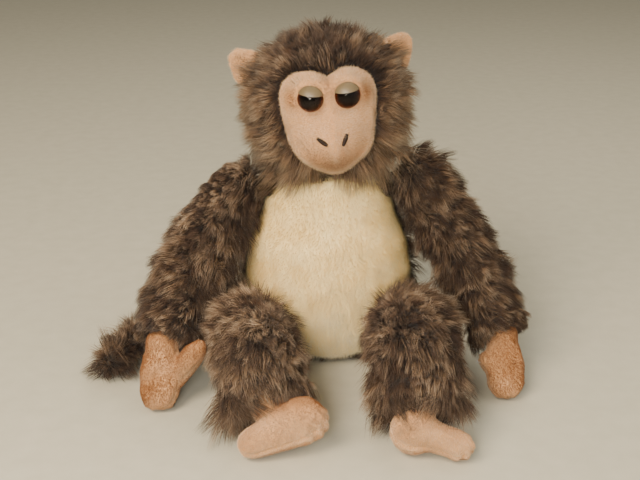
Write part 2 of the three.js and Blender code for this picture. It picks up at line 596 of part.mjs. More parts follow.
for (const limb of limbs) {
  const { name, sign, shoulder, hip } = limb;

  // Leg: from the hip forwards along the floor
  const leg = new THREE.Group();
  leg.position.copy(hip);
  const toeIn = degrees(limb.toeIn);
  const ankle = new THREE.Vector3(-sign * Math.sin(toeIn), -Math.cos(toeIn), 0).multiplyScalar(LEG_LENGTH);
  ankle.z = ANKLE_HEIGHT - HIP_HEIGHT;
  const knee = ankle.clone().multiplyScalar(0.5);
  knee.z += 2 * limb.kneeLift;
  const legRadii = [HIP_DIAMETER / 2, THIGH_DIAMETER / 2, ANKLE_CUFF_DIAMETER / 2, ANKLE_DIAMETER / 2];
  const legParts = sleeveAndFilling(...legRadii, knee, ankle);
  const floor = below(-HIP_HEIGHT);
  leg.add(piece("leg_sleeve_" + name, legParts.sleeve.subtract(floor), BROWN_FUR));
  leg.add(piece("leg_filling_" + name, legParts.filling, FIBREFILL));
  monkey.add(leg);

  const foot = new THREE.Group();
  foot.position.copy(ankle);
  const padHeight = FOOT_PAD_DIAMETER / 2 + limb.padLift - ANKLE_HEIGHT;
  const padMiddle = new THREE.Vector3(-sign * limb.padIn, -FOOT_PAD_FORWARD, padHeight);
  const toeHeight = TOE_DIAMETER / 2 - ANKLE_HEIGHT;
  const toeMiddle = new THREE.Vector3(padMiddle.x + sign * TOE_REACH, padMiddle.y - TOE_FORWARD, toeHeight);
  const foots = (wall, sides) => footForm(wall, padMiddle, toeMiddle, limb.soleFlat, sides);
  foot.add(piece("foot_" + name, mitt(foots, padMiddle, ANKLE_DIAMETER / 2), PEACH_VELOUR));
  foot.add(piece("foot_filling_" + name, foots(VELOUR + CLEARANCE, MITT_FILLING_FACETS), FIBREFILL));
  leg.add(foot);

  // Hand: fingers down to the floor
  const hand = new THREE.Group();
  hand.rotation.x = -degrees(limb.handPitch);
  hand.updateMatrix();
  const hands = (wall, sides) => handForm(wall, -sign, sides);
  const skin = piece("hand_" + name, mitt(hands, palmMiddle, WRIST_DIAMETER / 2), PEACH_VELOUR);
  hand.add(skin);
  hand.add(piece("hand_filling_" + name, hands(VELOUR + CLEARANCE, MITT_FILLING_FACETS), FIBREFILL));
  const handDrop = -new THREE.Box3().setFromObject(hand, true).min.z;

  // Arm: out past the thigh, and as far forwards as its length allows with the hand on the floor
  const arm = new THREE.Group();
  arm.position.copy(shoulder);
  const thighSide = Math.abs(hip.x) + THIGH_DIAMETER / 2;
  limb.cuffSide = thighSide + limb.armGap + CUFF_DIAMETER;
  const out = limb.cuffSide - CUFF_DIAMETER / 2 - Math.abs(shoulder.x);
  const plumb = Math.sqrt(ARM_LENGTH ** 2 - out ** 2);
  const drop = Math.min(plumb, shoulder.z - handDrop);
  const wrist = new THREE.Vector3(sign * out, -Math.sqrt(plumb ** 2 - drop ** 2), -drop);
  const elbow = wrist.clone().multiplyScalar(0.5);
  elbow.x += sign * limb.elbowOut;
  elbow.y += ELBOW_BACK;
  const armRadii = [SHOULDER_DIAMETER / 2, ARM_DIAMETER / 2, CUFF_DIAMETER / 2, WRIST_DIAMETER / 2];
  const armParts = sleeveAndFilling(...armRadii, elbow, wrist);
  arm.add(piece("arm_sleeve_" + name, armParts.sleeve, BROWN_FUR));
  arm.add(piece("arm_filling_" + name, armParts.filling, FIBREFILL));
  hand.position.copy(wrist);
  arm.add(hand);
  monkey.add(arm);
}

// Tail: round from the back to beside the right hand, along the floor
const tail = new THREE.Group();
tail.position.copy(tailSeat);
const rightCuff = limbs.find(({ name }) => name === "right").cuffSide;
const tailTip = new THREE.Vector3(-rightCuff - TAIL_GAP - tailRadius, -TAIL_TIP_FORWARD, tailRadius);
tailTip.sub(tailSeat);
const leave = new THREE.Vector3(-Math.sin(degrees(TAIL_LEAVE)), Math.cos(degrees(TAIL_LEAVE)), 0);
const tailCurve = new THREE.CurvePath();
tailCurve.add(new THREE.LineCurve3(leave.clone().multiplyScalar(-tailRadius), new THREE.Vector3()));
const holdOn = leave.clone().multiplyScalar(TAIL_SWEEP);
const runIn = tailTip.clone().add(new THREE.Vector3(0, TAIL_CURL, 0));
tailCurve.add(new THREE.CubicBezierCurve3(new THREE.Vector3(), holdOn, runIn, tailTip));

/** The tail's form, drawn in by a wall. */
function tailForm(wall, sides) {
  const length = tailCurve.getLength();
  const tipRadius = TAIL_TIP_DIAMETER / 2;
  const outline = new THREE.Path();
  outline.absarc(0, tailRadius, tailRadius - wall, -Math.PI / 2, 0, false);
  outline.splineThru([
    new THREE.Vector2((tailRadius + tipRadius) / 2 - wall, length / 2),
    new THREE.Vector2(tipRadius - wall, length - tipRadius),
  ]);
  outline.absarc(0, length - tipRadius, tipRadius - wall, 0, Math.PI / 2, false);
  return bentForm(outline.getPoints(3), tailCurve, Z_AXIS, sides);
}

const tailHole = rod(leave.clone().multiplyScalar(-2 * tailRadius), new THREE.Vector3(), FILLING_HOLE / 2);
const tailFur = tailForm(0, TAIL_FACETS).subtract(tailForm(FUR, TAIL_FILLING_FACETS)).subtract(tailHole);
tail.add(piece("tail_sleeve", tailFur, BROWN_FUR));
tail.add(piece("tail_filling", tailForm(FUR + CLEARANCE, TAIL_FILLING_FACETS), FIBREFILL));
monkey.add(tail);

export default monkey;
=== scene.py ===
# %% [markdown]
# A seated plush monkey, dressed over its CAD frame. The frame gives every piece its place and its moving
# body. This file adds what a sewing room would add: stuffed skins, long and short pile, velour, eyes and
# stitches.

# %% Load the frame
import json
import math

import bpy
import numpy as np
from mathutils import Matrix, Vector
from mathutils.bvhtree import BVHTree
from mathutils.kdtree import KDTree


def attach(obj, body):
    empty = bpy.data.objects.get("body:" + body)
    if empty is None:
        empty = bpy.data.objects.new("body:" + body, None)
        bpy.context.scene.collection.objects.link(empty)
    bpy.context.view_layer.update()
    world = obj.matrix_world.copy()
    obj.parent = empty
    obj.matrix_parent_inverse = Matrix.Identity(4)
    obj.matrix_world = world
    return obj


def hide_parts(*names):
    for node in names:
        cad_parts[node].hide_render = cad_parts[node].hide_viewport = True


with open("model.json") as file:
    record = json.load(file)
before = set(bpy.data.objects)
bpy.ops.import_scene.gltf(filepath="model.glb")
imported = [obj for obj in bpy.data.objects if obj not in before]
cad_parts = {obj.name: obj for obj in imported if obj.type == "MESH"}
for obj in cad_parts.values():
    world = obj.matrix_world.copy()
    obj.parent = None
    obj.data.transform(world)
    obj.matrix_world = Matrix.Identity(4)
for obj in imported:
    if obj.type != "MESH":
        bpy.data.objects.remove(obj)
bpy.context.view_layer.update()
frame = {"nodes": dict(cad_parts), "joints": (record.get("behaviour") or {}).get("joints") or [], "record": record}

MM = 0.001
SIDES = ("left", "right")
nodes = frame["nodes"]
joints = {joint["child"]: joint for joint in frame["joints"]}

# %% [markdown]
# The camera stands where the photographer stood: a little above the toy, looking down at it. A long lens
# and a small shift put the seat at the photograph's own pixel, so both pictures can be compared.

# %% Camera
PHOTO_WIDTH = 640
FOCAL_PIXELS = 1070
SENSOR_MM = 36
LOOK_AT = Vector((0, -40, 88)) * MM
LOOK_AT_PIXEL = 328
CAMERA_DISTANCE = 640 * MM
CAMERA_ELEVATION = math.radians(21)


def add_object(name, data):
    """A new object in the scene."""
    made = bpy.data.objects.new(name, data)
    bpy.context.scene.collection.objects.link(made)
    return made


camera_data = bpy.data.cameras.new("camera")
camera_data.sensor_width = SENSOR_MM
camera_data.lens = SENSOR_MM * FOCAL_PIXELS / PHOTO_WIDTH
camera_data.shift_x = (PHOTO_WIDTH / 2 - LOOK_AT_PIXEL) / PHOTO_WIDTH
camera = add_object("camera", camera_data)
away = Vector((0, -math.cos(CAMERA_ELEVATION), math.sin(CAMERA_ELEVATION)))
camera.location = LOOK_AT + away * CAMERA_DISTANCE
camera.rotation_euler = (-away).to_track_quat("-Z", "Y").to_euler()
bpy.context.scene.camera = camera
print("camera lens:", round(camera_data.lens, 1), "mm")

# %% [markdown]
# The floor is a sheet of pale backdrop paper. Paper is matt and nearly one tone, so a faint noise is
# enough. A picture of paper would do as well, but a procedural noise needs no file and has no edge.

# %% Floor
FLOOR_SIZE = 12.0
# Paper fibres are far too fine to show, so the tone drifts over blotches of about 13 mm instead.
PAPER_BLOTCH = FLOOR_SIZE / 900


def linear(code, alpha=1.0):
    """An sRGB hex colour as the linear values that shaders use."""
    values = [int(code[i:i + 2], 16) / 255 for i in (1, 3, 5)]
    return [v / 12.92 if v <= 0.04045 else ((v + 0.055) / 1.055) ** 2.4 for v in values] + [alpha]


def add_node(material, kind, values=None, links=None, **settings):
    """A shader node with its settings, socket values and incoming links."""
    made = material.node_tree.nodes.new(kind)
    for name, value in settings.items():
        setattr(made, name, value)
    for socket, value in (values or {}).items():
        made.inputs[socket].default_value = value
    for socket, output in (links or {}).items():
        material.node_tree.links.new(output, made.inputs[socket])
    return made


def new_material(name):
    """An empty node material."""
    material = bpy.data.materials.new(name)
    material.use_nodes = True
    material.node_tree.nodes.clear()
    return material


# Matt paper: it scatters light evenly, so it shows soft shadows and no highlight.
paper = new_material("pale_backdrop_paper")
paper_grain = add_node(paper, "ShaderNodeTexNoise", {"Scale": FLOOR_SIZE / PAPER_BLOTCH, "Detail": 4.0})
paper_tone = add_node(paper, "ShaderNodeValToRGB", links={"Fac": paper_grain.outputs["Fac"]})
paper_tone.color_ramp.elements[0].color = linear("#b9b7a4")
paper_tone.color_ramp.elements[1].color = linear("#cac8b6")
paper_shader = add_node(
    paper, "ShaderNodeBsdfPrincipled", {"Roughness": 0.9}, {"Base Color": paper_tone.outputs["Color"]}
)
add_node(paper, "ShaderNodeOutputMaterial", links={"Surface": paper_shader.outputs["BSDF"]})

half_floor = FLOOR_SIZE / 2
floor_mesh = bpy.data.meshes.new("floor")
floor_corners = [(x, y, 0) for x, y in ((-1, -1), (1, -1), (1, 1), (-1, 1))]
floor_mesh.from_pydata([Vector(corner) * half_floor for corner in floor_corners], [], [(0, 1, 2, 3)])
floor = add_object("floor", floor_mesh)
floor.data.materials.append(paper)
print("floor:", FLOOR_SIZE, "m wide")

# %% [markdown]
# Light is soft and warm from the upper left, with a weaker fill opposite and a little from above and
# behind. Two small lamps stand beside the lens. One is the flash. The other shows only in shiny surfaces,
# and lights no matt one.

# %% Light
BESIDE_LENS = Vector((-0.07, 0, -0.03))
SKY_STRENGTH = 0.35


def add_light(name, place, size, power, colour):
    """A square soft box that looks at the toy."""
    lamp = bpy.data.lights.new(name, "AREA")
    lamp.size = size
    lamp.energy = power
    lamp.color = linear(colour)[:3]
    made = add_object(name, lamp)
    made.location = place
    made.rotation_euler = (LOOK_AT - Vector(place)).to_track_quat("-Z", "Y").to_euler()
    return made


add_light("key_light", (-0.55, -0.85, 0.95), size=0.7, power=25.0, colour="#ffe8ca")
add_light("fill_light", (1.1, -0.5, 0.7), size=1.8, power=9.0, colour="#fff2e2")
add_light("top_light", (0.1, 0.5, 1.1), size=0.8, power=4.0, colour="#fff3e3")
beside_lens = camera.location + BESIDE_LENS
add_light("flash", beside_lens, size=0.16, power=2.6, colour="#fff6ea")
catch_light = add_light("catch_light", beside_lens, size=0.2, power=16.0, colour="#fff6ea")
catch_light.visible_diffuse = False
world = bpy.data.worlds.new("studio")
world.use_nodes = True
background = world.node_tree.nodes["Background"]
background.inputs["Color"].default_value = linear("#ebe3d3")
background.inputs["Strength"].default_value = SKY_STRENGTH
bpy.context.scene.world = world
print("flash:", round((beside_lens - LOOK_AT).length, 2), "m from the toy")

# %% [markdown]
# Every stuffed skin starts from its CAD solid, with the filling put back in, so the form is full. A voxel
# remesh turns the facets into even quads, and smoothing rounds them as stretched cloth would. The pile
# needs room, so the skin is then drawn in from the CAD surface, which is where the pile's tips lie.

# %% Stuffed forms
SMOOTHING = 0.5


def joined(name, names):
    """The meshes of several CAD nodes, copied into one mesh."""
    points = []
    faces = []
    for node_name in names:
        source = nodes[node_name].data
        start = len(points)
        points += [tuple(v.co) for v in source.vertices]
        faces += [[start + i for i in face.vertices] for face in source.polygons]
    mesh = bpy.data.meshes.new(name)
    mesh.from_pydata(points, [], faces)
    return mesh


def settled(piece):
    """The piece with its modifiers made part of its mesh."""
    graph = bpy.context.evaluated_depsgraph_get()
    mesh = bpy.data.meshes.new_from_object(piece.evaluated_get(graph))
    piece.modifiers.clear()
    old = piece.data
    piece.data = mesh
    bpy.data.meshes.remove(old)
    mesh.name = piece.name
    return piece


def stuffed_form(name, names, voxel, rounds):
    """One smooth closed form from CAD nodes that lie inside each other."""
    piece = add_object(name, joined(name, names))
    remesh = piece.modifiers.new("remesh", "REMESH")
    remesh.mode = "VOXEL"
    remesh.voxel_size = voxel
    remesh.use_smooth_shade = True
    smooth = piece.modifiers.new("smooth", "SMOOTH")
    smooth.factor = SMOOTHING
    smooth.iterations = rounds
    return settled(piece)


print("stuffed forms start from", len(nodes), "CAD nodes")

# %% Skins drawn in
FUR_DEPTH = 5.5 * MM
PLUSH_DEPTH = 1.5 * MM
THIN_SHARE = 0.35
RAY_STEP = 0.05 * MM


def places_of(mesh):
    """A mesh's corners as an array."""
    values = np.empty(3 * len(mesh.vertices))
    mesh.vertices.foreach_get("co", values)
    return values.reshape(-1, 3)


def normals_of(mesh):
    """A mesh's smooth normals at its corners, as an array."""
    values = np.empty(3 * len(mesh.vertices))
    mesh.vertices.foreach_get("normal", values)
    return values.reshape(-1, 3)


def put_places(mesh, places):
    """Moves a mesh's corners."""
    mesh.vertices.foreach_set("co", np.ascontiguousarray(places).ravel())
    mesh.update()


def tree_of(*meshes):
    """A search tree over several meshes."""
    points = []
    faces = []
    for mesh in meshes:
        start = len(points)
        points += [tuple(v.co) for v in mesh.vertices]
        faces += [[start + i for i in face.vertices] for face in mesh.polygons]
    return BVHTree.FromPolygons(points, faces)


def draw_in(piece, depth):
    """Draws a form's surface in by one depth or one for each corner, less where the form is thin."""
    places = places_of(piece.data)
    depths = np.broadcast_to(depth, len(places))
    inward = -normals_of(piece.data)
    tree = tree_of(piece.data)
    for i, (place, way) in enumerate(zip(places, inward)):
        through = tree.ray_cast(Vector(place + way * RAY_STEP), Vector(way))[3]
        thickness = through if through is not None else depths[i]
        inward[i] = way * min(depths[i], THIN_SHARE * thickness)
    put_places(piece.data, places + inward)


def dress(piece, body, slot, material, *replaced):
    """Puts a finished piece on its body, with its finish and the CAD nodes that it stands for."""
    piece.data.materials.clear()
    piece.data.materials.append(material)
    piece.data.polygons.foreach_set("use_smooth", [True] * len(piece.data.polygons))
    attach(piece, body)
    if replaced:
        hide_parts(*replaced)
    return piece


print("skins are drawn in by", round(FUR_DEPTH / MM, 1), "mm under fur")

# %% [markdown]
# Pile is thousands of tapered fibres. Hair curves would be lighter, but only meshes leave this file, so
# each fibre is a closed three-sided spike. Fibres stand up at the root, lean over along a combing
# direction, droop with weight, sway together in slow waves and are drawn a little into locks. That makes
# a coat shaggy and not a brush. A fibre's colour runs from root to tip. That run, and a tone for each
# fibre, are its two texture coordinates.

# %% Coats
# A real pile fibre is about 0.03 mm thick, too fine to show, so fibres are drawn thicker and fewer. A
# coat gives a fibre's length and radius, the fibres on a square millimetre and the bends from root to
# tip. Each lock is a number of fibres and how far they are drawn together. Lift and stand raise a fibre,
# droop bends it down, fray and sway turn it aside, and waves is how long a sway is. Mottle is how far
# locks differ in tone. A root with cloth nearer than covered grows no fibre.
FUR = {
    "length": 14 * MM, "radius": 0.16 * MM, "density": 1.35, "bends": 2, "locks": ((16, 0.5), (80, 0.28)),
    "lift": 1.1, "stand": 0.36, "droop": 0.35, "fray": 0.25, "sway": 1.6, "waves": 9 * MM,
    "mottle": 0.85, "covered": 7 * MM,
}
UNDERFUR = {
    **FUR, "length": 9.5 * MM, "radius": 0.15 * MM, "density": 2.4, "bends": 1,
    "locks": ((26, 0.4), (170, 0.2)), "lift": 1.0, "droop": 0.2,
}
PLUSH = {
    "length": 4 * MM, "radius": 0.06 * MM, "density": 2.8, "bends": 1, "locks": ((4, 0.15),),
    "lift": 0.7, "stand": 0.3, "droop": 0.1, "fray": 0.25, "sway": 0.5, "waves": 20 * MM,
    "mottle": 0.3, "covered": 4 * MM,
}
NAP = {
    "length": 1.5 * MM, "radius": 0.09 * MM, "density": 7.5, "bends": 1, "locks": ((3, 0.2),),
    "lift": 0.9, "stand": 0.4, "droop": 0.0, "fray": 0.3, "sway": 0.8, "waves": 9 * MM,
    "mottle": 0.25, "covered": 1.5 * MM,
}
for coat_name, coat in (("guard hair", FUR), ("underfur", UNDERFUR), ("plush", PLUSH), ("nap", NAP)):
    print(coat_name, round(coat["length"] / MM, 1), "mm long")

# %% Roots
NOISE_WAVES = 6


def unit(vectors):
    """Vectors at length one."""
    return vectors / np.maximum(np.linalg.norm(vectors, axis=1, keepdims=True), 1e-9)


def smooth_step(low, high, values):
    """Values carried from 0 at the low end to 1 at the high end, with soft ends."""
    share = np.clip((values - low) / (high - low), 0, 1)
    return share * share * (3 - 2 * share)


def scatter(mesh, density, random):
    """Even random points on a mesh, in fibres for each square millimetre, with smooth normals."""
    mesh.calc_loop_triangles()
    corners = np.empty(3 * len(mesh.loop_triangles), dtype=int)
    mesh.loop_triangles.foreach_get("vertices", corners)
    corners = corners.reshape(-1, 3)
    places = places_of(mesh)[corners]
    normals = normals_of(mesh)[corners]
    areas = np.linalg.norm(np.cross(places[:, 1] - places[:, 0], places[:, 2] - places[:, 0]), axis=1) / 2
    count = int(areas.sum() / MM**2 * density)
    picked = random.choice(len(corners), count, p=areas / areas.sum())
    first, second = random.random((2, count))
    over = first + second > 1
    first[over] = 1 - first[over]
    second[over] = 1 - second[over]
    weights = np.stack((1 - first - second, first, second), axis=1)[:, :, None]
    return (places[picked] * weights).sum(1), unit((normals[picked] * weights).sum(1))


def room_before(places, normals, tree, reach):
    """How far each root's normal runs before it meets another piece, up to a reach."""
    hits = (tree.ray_cast(Vector(p + n * RAY_STEP), Vector(n), reach)[3] for p, n in zip(places, normals))
    return np.array([reach if hit is None else hit for hit in hits])


def soft_noise(places, size, random):
    """Slow random waves over space, from 0 to 1."""
    ways = unit(random.normal(0, 1, (NOISE_WAVES, 3))) * (2 * math.pi / size)
    waves = np.sin(places @ ways.T + random.random(NOISE_WAVES) * 2 * math.pi)
    return 0.5 + waves.sum(1) / (NOISE_WAVES + 1)


print("tones and lengths drift by", NOISE_WAVES, "waves")

# %% Fibres
DOWN = np.array((0.0, 0.0, -1.0))


def grow(places, normals, comb, lengths, coat, random):
    """Fibres as rows of points, from root to tip. A longer comb lays them flatter."""
    strength = np.linalg.norm(comb, axis=1, keepdims=True)
    comb = unit(comb - normals * (comb * normals).sum(1)[:, None]) * strength
    sway = np.stack([soft_noise(places, coat["waves"], random) for _ in range(3)], axis=1) - 0.5
    astray = random.normal(0, coat["fray"], (len(places), 3)) + sway * coat["sway"]
    rows = [places]
    for step in range(coat["bends"]):
        share = (step + 0.5) / coat["bends"]
        rise = coat["lift"] * (1 - share) + coat["stand"]
        way = normals * rise + comb * (1 + share) / 2 + DOWN * coat["droop"] * share + astray
        rows.append(rows[-1] + unit(way) * (lengths / coat["bends"])[:, None])
    return np.stack(rows, axis=1)


def into_locks(fibres, coat, random):
    """Draws fibres into small locks and those into larger ones. Also gives each fibre's small lock."""
    drawn = []
    for size, pull in coat["locks"]:
        leaders = random.choice(len(fibres), len(fibres) // size + 1, replace=False)
        near = KDTree(len(leaders))
        for i, leader in enumerate(leaders):
            near.insert(Vector(fibres[leader, 0]), i)
        near.balance()
        lock = np.array([near.find(Vector(root))[1] for root in fibres[:, 0]])
        shares = np.linspace(0, pull, fibres.shape[1])[None, :, None]
        fibres = fibres + (fibres[leaders[lock]] - fibres) * shares
        drawn.append(lock)
    return fibres, drawn[0]


print("a small lock of guard hair holds about", FUR["locks"][0][0], "fibres")

# %% Fibre meshes
FLOOR_GAP = 0.25 * MM
FIBRE_SIDES = 3
TAPER = 0.55
TONE_STRIP = 1.5 / 512
# Few fibres run this way, so it gives nearly every fibre a direction across it.
ODD_WAY = (0.31, 0.77, 0.55)


def mesh_of(name, points, quads, triangles, uvs=None):
    """A mesh from arrays of corners, quads and triangles."""
    mesh = bpy.data.meshes.new(name)
    mesh.vertices.add(len(points))
    mesh.vertices.foreach_set("co", np.ascontiguousarray(points).ravel())
    corners = np.concatenate((quads.ravel(), triangles.ravel())).astype(int)
    starts = np.concatenate((np.arange(len(quads)) * 4, quads.size + np.arange(len(triangles)) * 3))
    mesh.loops.add(len(corners))
    mesh.loops.foreach_set("vertex_index", corners)
    mesh.polygons.add(len(starts))
    mesh.polygons.foreach_set("loop_start", starts)
    if uvs is not None:
        layer = mesh.uv_layers.new(name="OFBake")
        layer.data.foreach_set("uv", uvs[corners].ravel())
    mesh.update(calc_edges=True)
    mesh.validate()
    return mesh


def spikes(name, fibres, radii, tone):
    """One mesh of tapered three-sided fibres, with tone and root-to-tip as its texture coordinates."""
    count, rings = len(fibres), fibres.shape[1] - 1
    along = unit(np.gradient(fibres, axis=1).reshape(-1, 3)).reshape(fibres.shape)
    side = unit(np.cross(along.reshape(-1, 3), ODD_WAY)).reshape(fibres.shape)
    other = np.cross(along, side)
    each = FIBRE_SIDES * rings + 1
    points = np.empty((count, each, 3))
    uvs = np.empty((count, each, 2))
    for ring in range(rings):
        thickness = (radii * (1 - TAPER * (ring / rings) ** 2))[:, None]
        for corner in range(FIBRE_SIDES):
            turn = 2 * math.pi * corner / FIBRE_SIDES
            arm = side[:, ring] * math.cos(turn) + other[:, ring] * math.sin(turn)
            points[:, FIBRE_SIDES * ring + corner] = fibres[:, ring] + arm * thickness
            uvs[:, FIBRE_SIDES * ring + corner, 0] = tone + (corner - 1) * TONE_STRIP
            uvs[:, FIBRE_SIDES * ring + corner, 1] = ring / rings
    points[:, -1] = fibres[:, -1]
    uvs[:, -1, 0] = tone
    uvs[:, -1, 1] = 1
    points[:, :, 2] = np.maximum(points[:, :, 2], FLOOR_GAP)
    walls = []
    ends = [(0, 2, 1)]
    last = FIBRE_SIDES * (rings - 1)
    for corner in range(FIBRE_SIDES):
        after = (corner + 1) % FIBRE_SIDES
        ends.append((last + corner, last + after, each - 1))
        for low in range(0, last, FIBRE_SIDES):
            high = low + FIBRE_SIDES
            walls.append((low + corner, low + after, high + after, high + corner))
    first = np.arange(count)[:, None, None] * each
    quads = (np.array(walls, dtype=int).reshape(1, -1, 4) + first).reshape(-1, 4)
    triangles = (np.array(ends)[None] + first).reshape(-1, 3)
    return mesh_of(name, points.reshape(-1, 3), quads, triangles, uvs.reshape(-1, 2))


print("a fibre has", FIBRE_SIDES, "sides")

# %% A coat on a skin
SHORTEST = 2.5 * MM
PATCH = 16 * MM
BLOTCH = 20 * MM
LEAN = 1.35
PATCH_SHORT = 0.78
PATCH_GAIN = 0.44
LENGTH_SPREAD = 0.1
FIBRE_MOTTLE = 0.4
RADIUS_SPREAD = (0.75, 1.2)
TONE_RANGE = (0.01, 0.99)


def pile(name, skin, comb, coat, seed, others=None, cover=None, trim=None, tint=None):
    """A coat of fibres on a skin, combed by a function of place and normal, and short beside other pieces."""
    random = np.random.default_rng(seed)
    places, normals = scatter(skin.data, coat["density"], random)
    if cover is not None:
        bare = room_before(places, normals, cover, coat["covered"]) < coat["covered"]
        places, normals = places[~bare], normals[~bare]
    lengths = coat["length"] * (PATCH_SHORT + PATCH_GAIN * soft_noise(places, PATCH, random))
    lengths *= random.normal(1, LENGTH_SPREAD, len(places))
    if trim is not None:
        lengths *= trim(places, normals)
    if others is not None:
        room = LEAN * room_before(places, normals, others, lengths.max())
        lengths = np.minimum(lengths, np.maximum(room, SHORTEST))
    fibres = grow(places, normals, comb(places, normals), lengths, coat, random)
    fibres, lock = into_locks(fibres, coat, random)
    lock_tone = random.random(lock.max() + 1)
    broad = soft_noise(places, BLOTCH, random) if tint is None else tint(places)
    mottle = lock_tone[lock] - 0.5 + FIBRE_MOTTLE * (random.random(len(places)) - 0.5)
    tone = broad + coat["mottle"] * mottle
    radii = coat["radius"] * random.uniform(*RADIUS_SPREAD, len(places))
    made = add_object(name, spikes(name, fibres, radii, np.clip(tone, *TONE_RANGE)))
    print(name, len(places), "fibres")
    return made


print("fur beside another piece is at least", round(SHORTEST / MM, 1), "mm long")

# %% [markdown]
# Long-pile faux fur is knitted acrylic. Its roots are dark and its tips are bleached, so each lock shows
# a dark hollow beside a pale tip. The colour is two runs from root to tip, one for dark fibres and one
# for pale ones. An image could be wrapped round each fibre, but two colour ramps say the same and can be
# tuned by eye.

# %% Pile finishes
# Acrylic's index is about 1.5. Only a share of its shine is kept, as fine fibres scatter the rest.
FIBRE_IOR = 1.5
FIBRE_SHINE = 0.15
SHEEN_ROUGHNESS = 0.5
# The Mix node's sockets are found by number, because several share a name: factor, two colours, and the
# result.
MIX_INPUTS = (0, 6, 7)
MIX_RESULT = 2


def set_ramp(ramp, stops):
    """Fills a colour ramp from pairs of place and hex colour."""
    elements = ramp.color_ramp.elements
    while len(elements) < len(stops):
        elements.new(0.5)
    for element, (place, colour) in zip(elements, stops):
        element.position = place
        element.color = linear(colour)


def pile_material(name, dark, pale, roughness, sheen):
    """A fibre's colour from root to tip, between a dark and a pale run."""
    material = new_material(name)
    uv = add_node(material, "ShaderNodeUVMap", uv_map="OFBake")
    axes = add_node(material, "ShaderNodeSeparateXYZ", links={"Vector": uv.outputs["UV"]})
    sources = [axes.outputs["X"]]
    for stops in (dark, pale):
        run = add_node(material, "ShaderNodeValToRGB", links={"Fac": axes.outputs["Y"]})
        set_ramp(run, stops)
        sources.append(run.outputs["Color"])
    colour = add_node(material, "ShaderNodeMix", links=dict(zip(MIX_INPUTS, sources)), data_type="RGBA")
    shader = add_node(
        material, "ShaderNodeBsdfPrincipled",
        {
            "Roughness": roughness, "IOR": FIBRE_IOR, "Specular IOR Level": FIBRE_SHINE,
            "Sheen Weight": sheen, "Sheen Roughness": SHEEN_ROUGHNESS,
        },
        {"Base Color": colour.outputs[MIX_RESULT]},
    )
    add_node(material, "ShaderNodeOutputMaterial", links={"Surface": shader.outputs["BSDF"]})
    return material


# Long acrylic fur: dark hollows between the locks, and bleached tips that catch the light.
brown_pile = pile_material(
    "acrylic_fur_brown",
    dark=((0.0, "#130a04"), (0.4, "#26160b"), (0.75, "#3f2a1a"), (1.0, "#583f2a")),
    pale=((0.0, "#29180c"), (0.35, "#5d432b"), (0.65, "#9c8062"), (1.0, "#e2cfb4")),
    roughness=0.62, sheen=0.08,
)
# Short acrylic plush, cut level: a soft and nearly matt bloom, warmer down between the fibres.
cream_pile = pile_material(
    "acrylic_plush_cream",
    dark=((0.0, "#f6d684"), (0.5, "#fde29a"), (1.0, "#ffeeb4")),
    pale=((0.0, "#fdf0cc"), (0.5, "#fff7de"), (1.0, "#fffcee")),
    roughness=0.85, sheen=0.05,
)
# Shorn velour: a dense, short nap. Its tone is paler in rubbed patches, and also holds painted sheen, highlight
# and shade.
peach_nap = pile_material(
    "velour_nap_peach",
    dark=((0.0, "#804d1f"), (1.0, "#b0733a")),
    pale=((0.0, "#e6bb8c"), (1.0, "#ffe9c6")),
    roughness=0.75, sheen=0.08,
)
print("pile finishes:", brown_pile.name, cream_pile.name, peach_nap.name)

# %% [markdown]
# Under each pile is the knitted cloth that holds it. It shows between fibres and at hems, so it has the
# pile's own colours. Its stitches could be modelled one by one, but under pile a bump is enough.

# %% Backing cloths
# A fine knit has about 28 stitches to the inch, so a stitch is about 0.9 mm across.
KNIT_STITCH = 0.9 * MM
KNIT_RELIEF = 0.3 * MM
KNIT_BUMP = 0.4
KNIT_ROUGHNESS = 0.85


def knit_material(name, dark, pale, sheen):
    """A knitted backing cloth, with a tone that drifts in blotches."""
    material = new_material(name)
    place = add_node(material, "ShaderNodeTexCoord").outputs["Object"]
    stitches = add_node(material, "ShaderNodeTexVoronoi", {"Scale": 1 / KNIT_STITCH}, {"Vector": place})
    blotch = add_node(material, "ShaderNodeTexNoise", {"Scale": 1 / BLOTCH}, {"Vector": place})
    colour = add_node(material, "ShaderNodeValToRGB", links={"Fac": blotch.outputs["Fac"]})
    set_ramp(colour, ((0.3, dark), (0.7, pale)))
    bump = add_node(
        material, "ShaderNodeBump", {"Strength": KNIT_BUMP, "Distance": KNIT_RELIEF},
        {"Height": stitches.outputs["Distance"]},
    )
    shader = add_node(
        material, "ShaderNodeBsdfPrincipled",
        {
            "Roughness": KNIT_ROUGHNESS, "IOR": FIBRE_IOR, "Specular IOR Level": FIBRE_SHINE,
            "Sheen Weight": sheen, "Sheen Roughness": SHEEN_ROUGHNESS,
        },
        {"Base Color": colour.outputs["Color"], "Normal": bump.outputs["Normal"]},
    )
    add_node(material, "ShaderNodeOutputMaterial", links={"Surface": shader.outputs["BSDF"]})
    return material


# Matt knitted cloth: as dark as the roots under fur, and as pale as the pile under plush and velour.
fur_backing = knit_material("knitted_backing_brown", "#1c1009", "#302014", sheen=0.0)
plush_backing = knit_material("knitted_backing_cream", "#fae3a2", "#ffeeb8", sheen=0.05)
velour_cloth = knit_material("velour_cloth_peach", "#c59463", "#daab7c", sheen=0.08)
print("backing cloths:", fur_backing.name, plush_backing.name, velour_cloth.name)

# %% [markdown]
# The limbs are furry tubes. Fur lies along a limb from its joint to its cuff, and sags down its sides.
# One comb for all four would be simpler, but on a handled toy no two limbs lie alike, so each has its own
# tones.

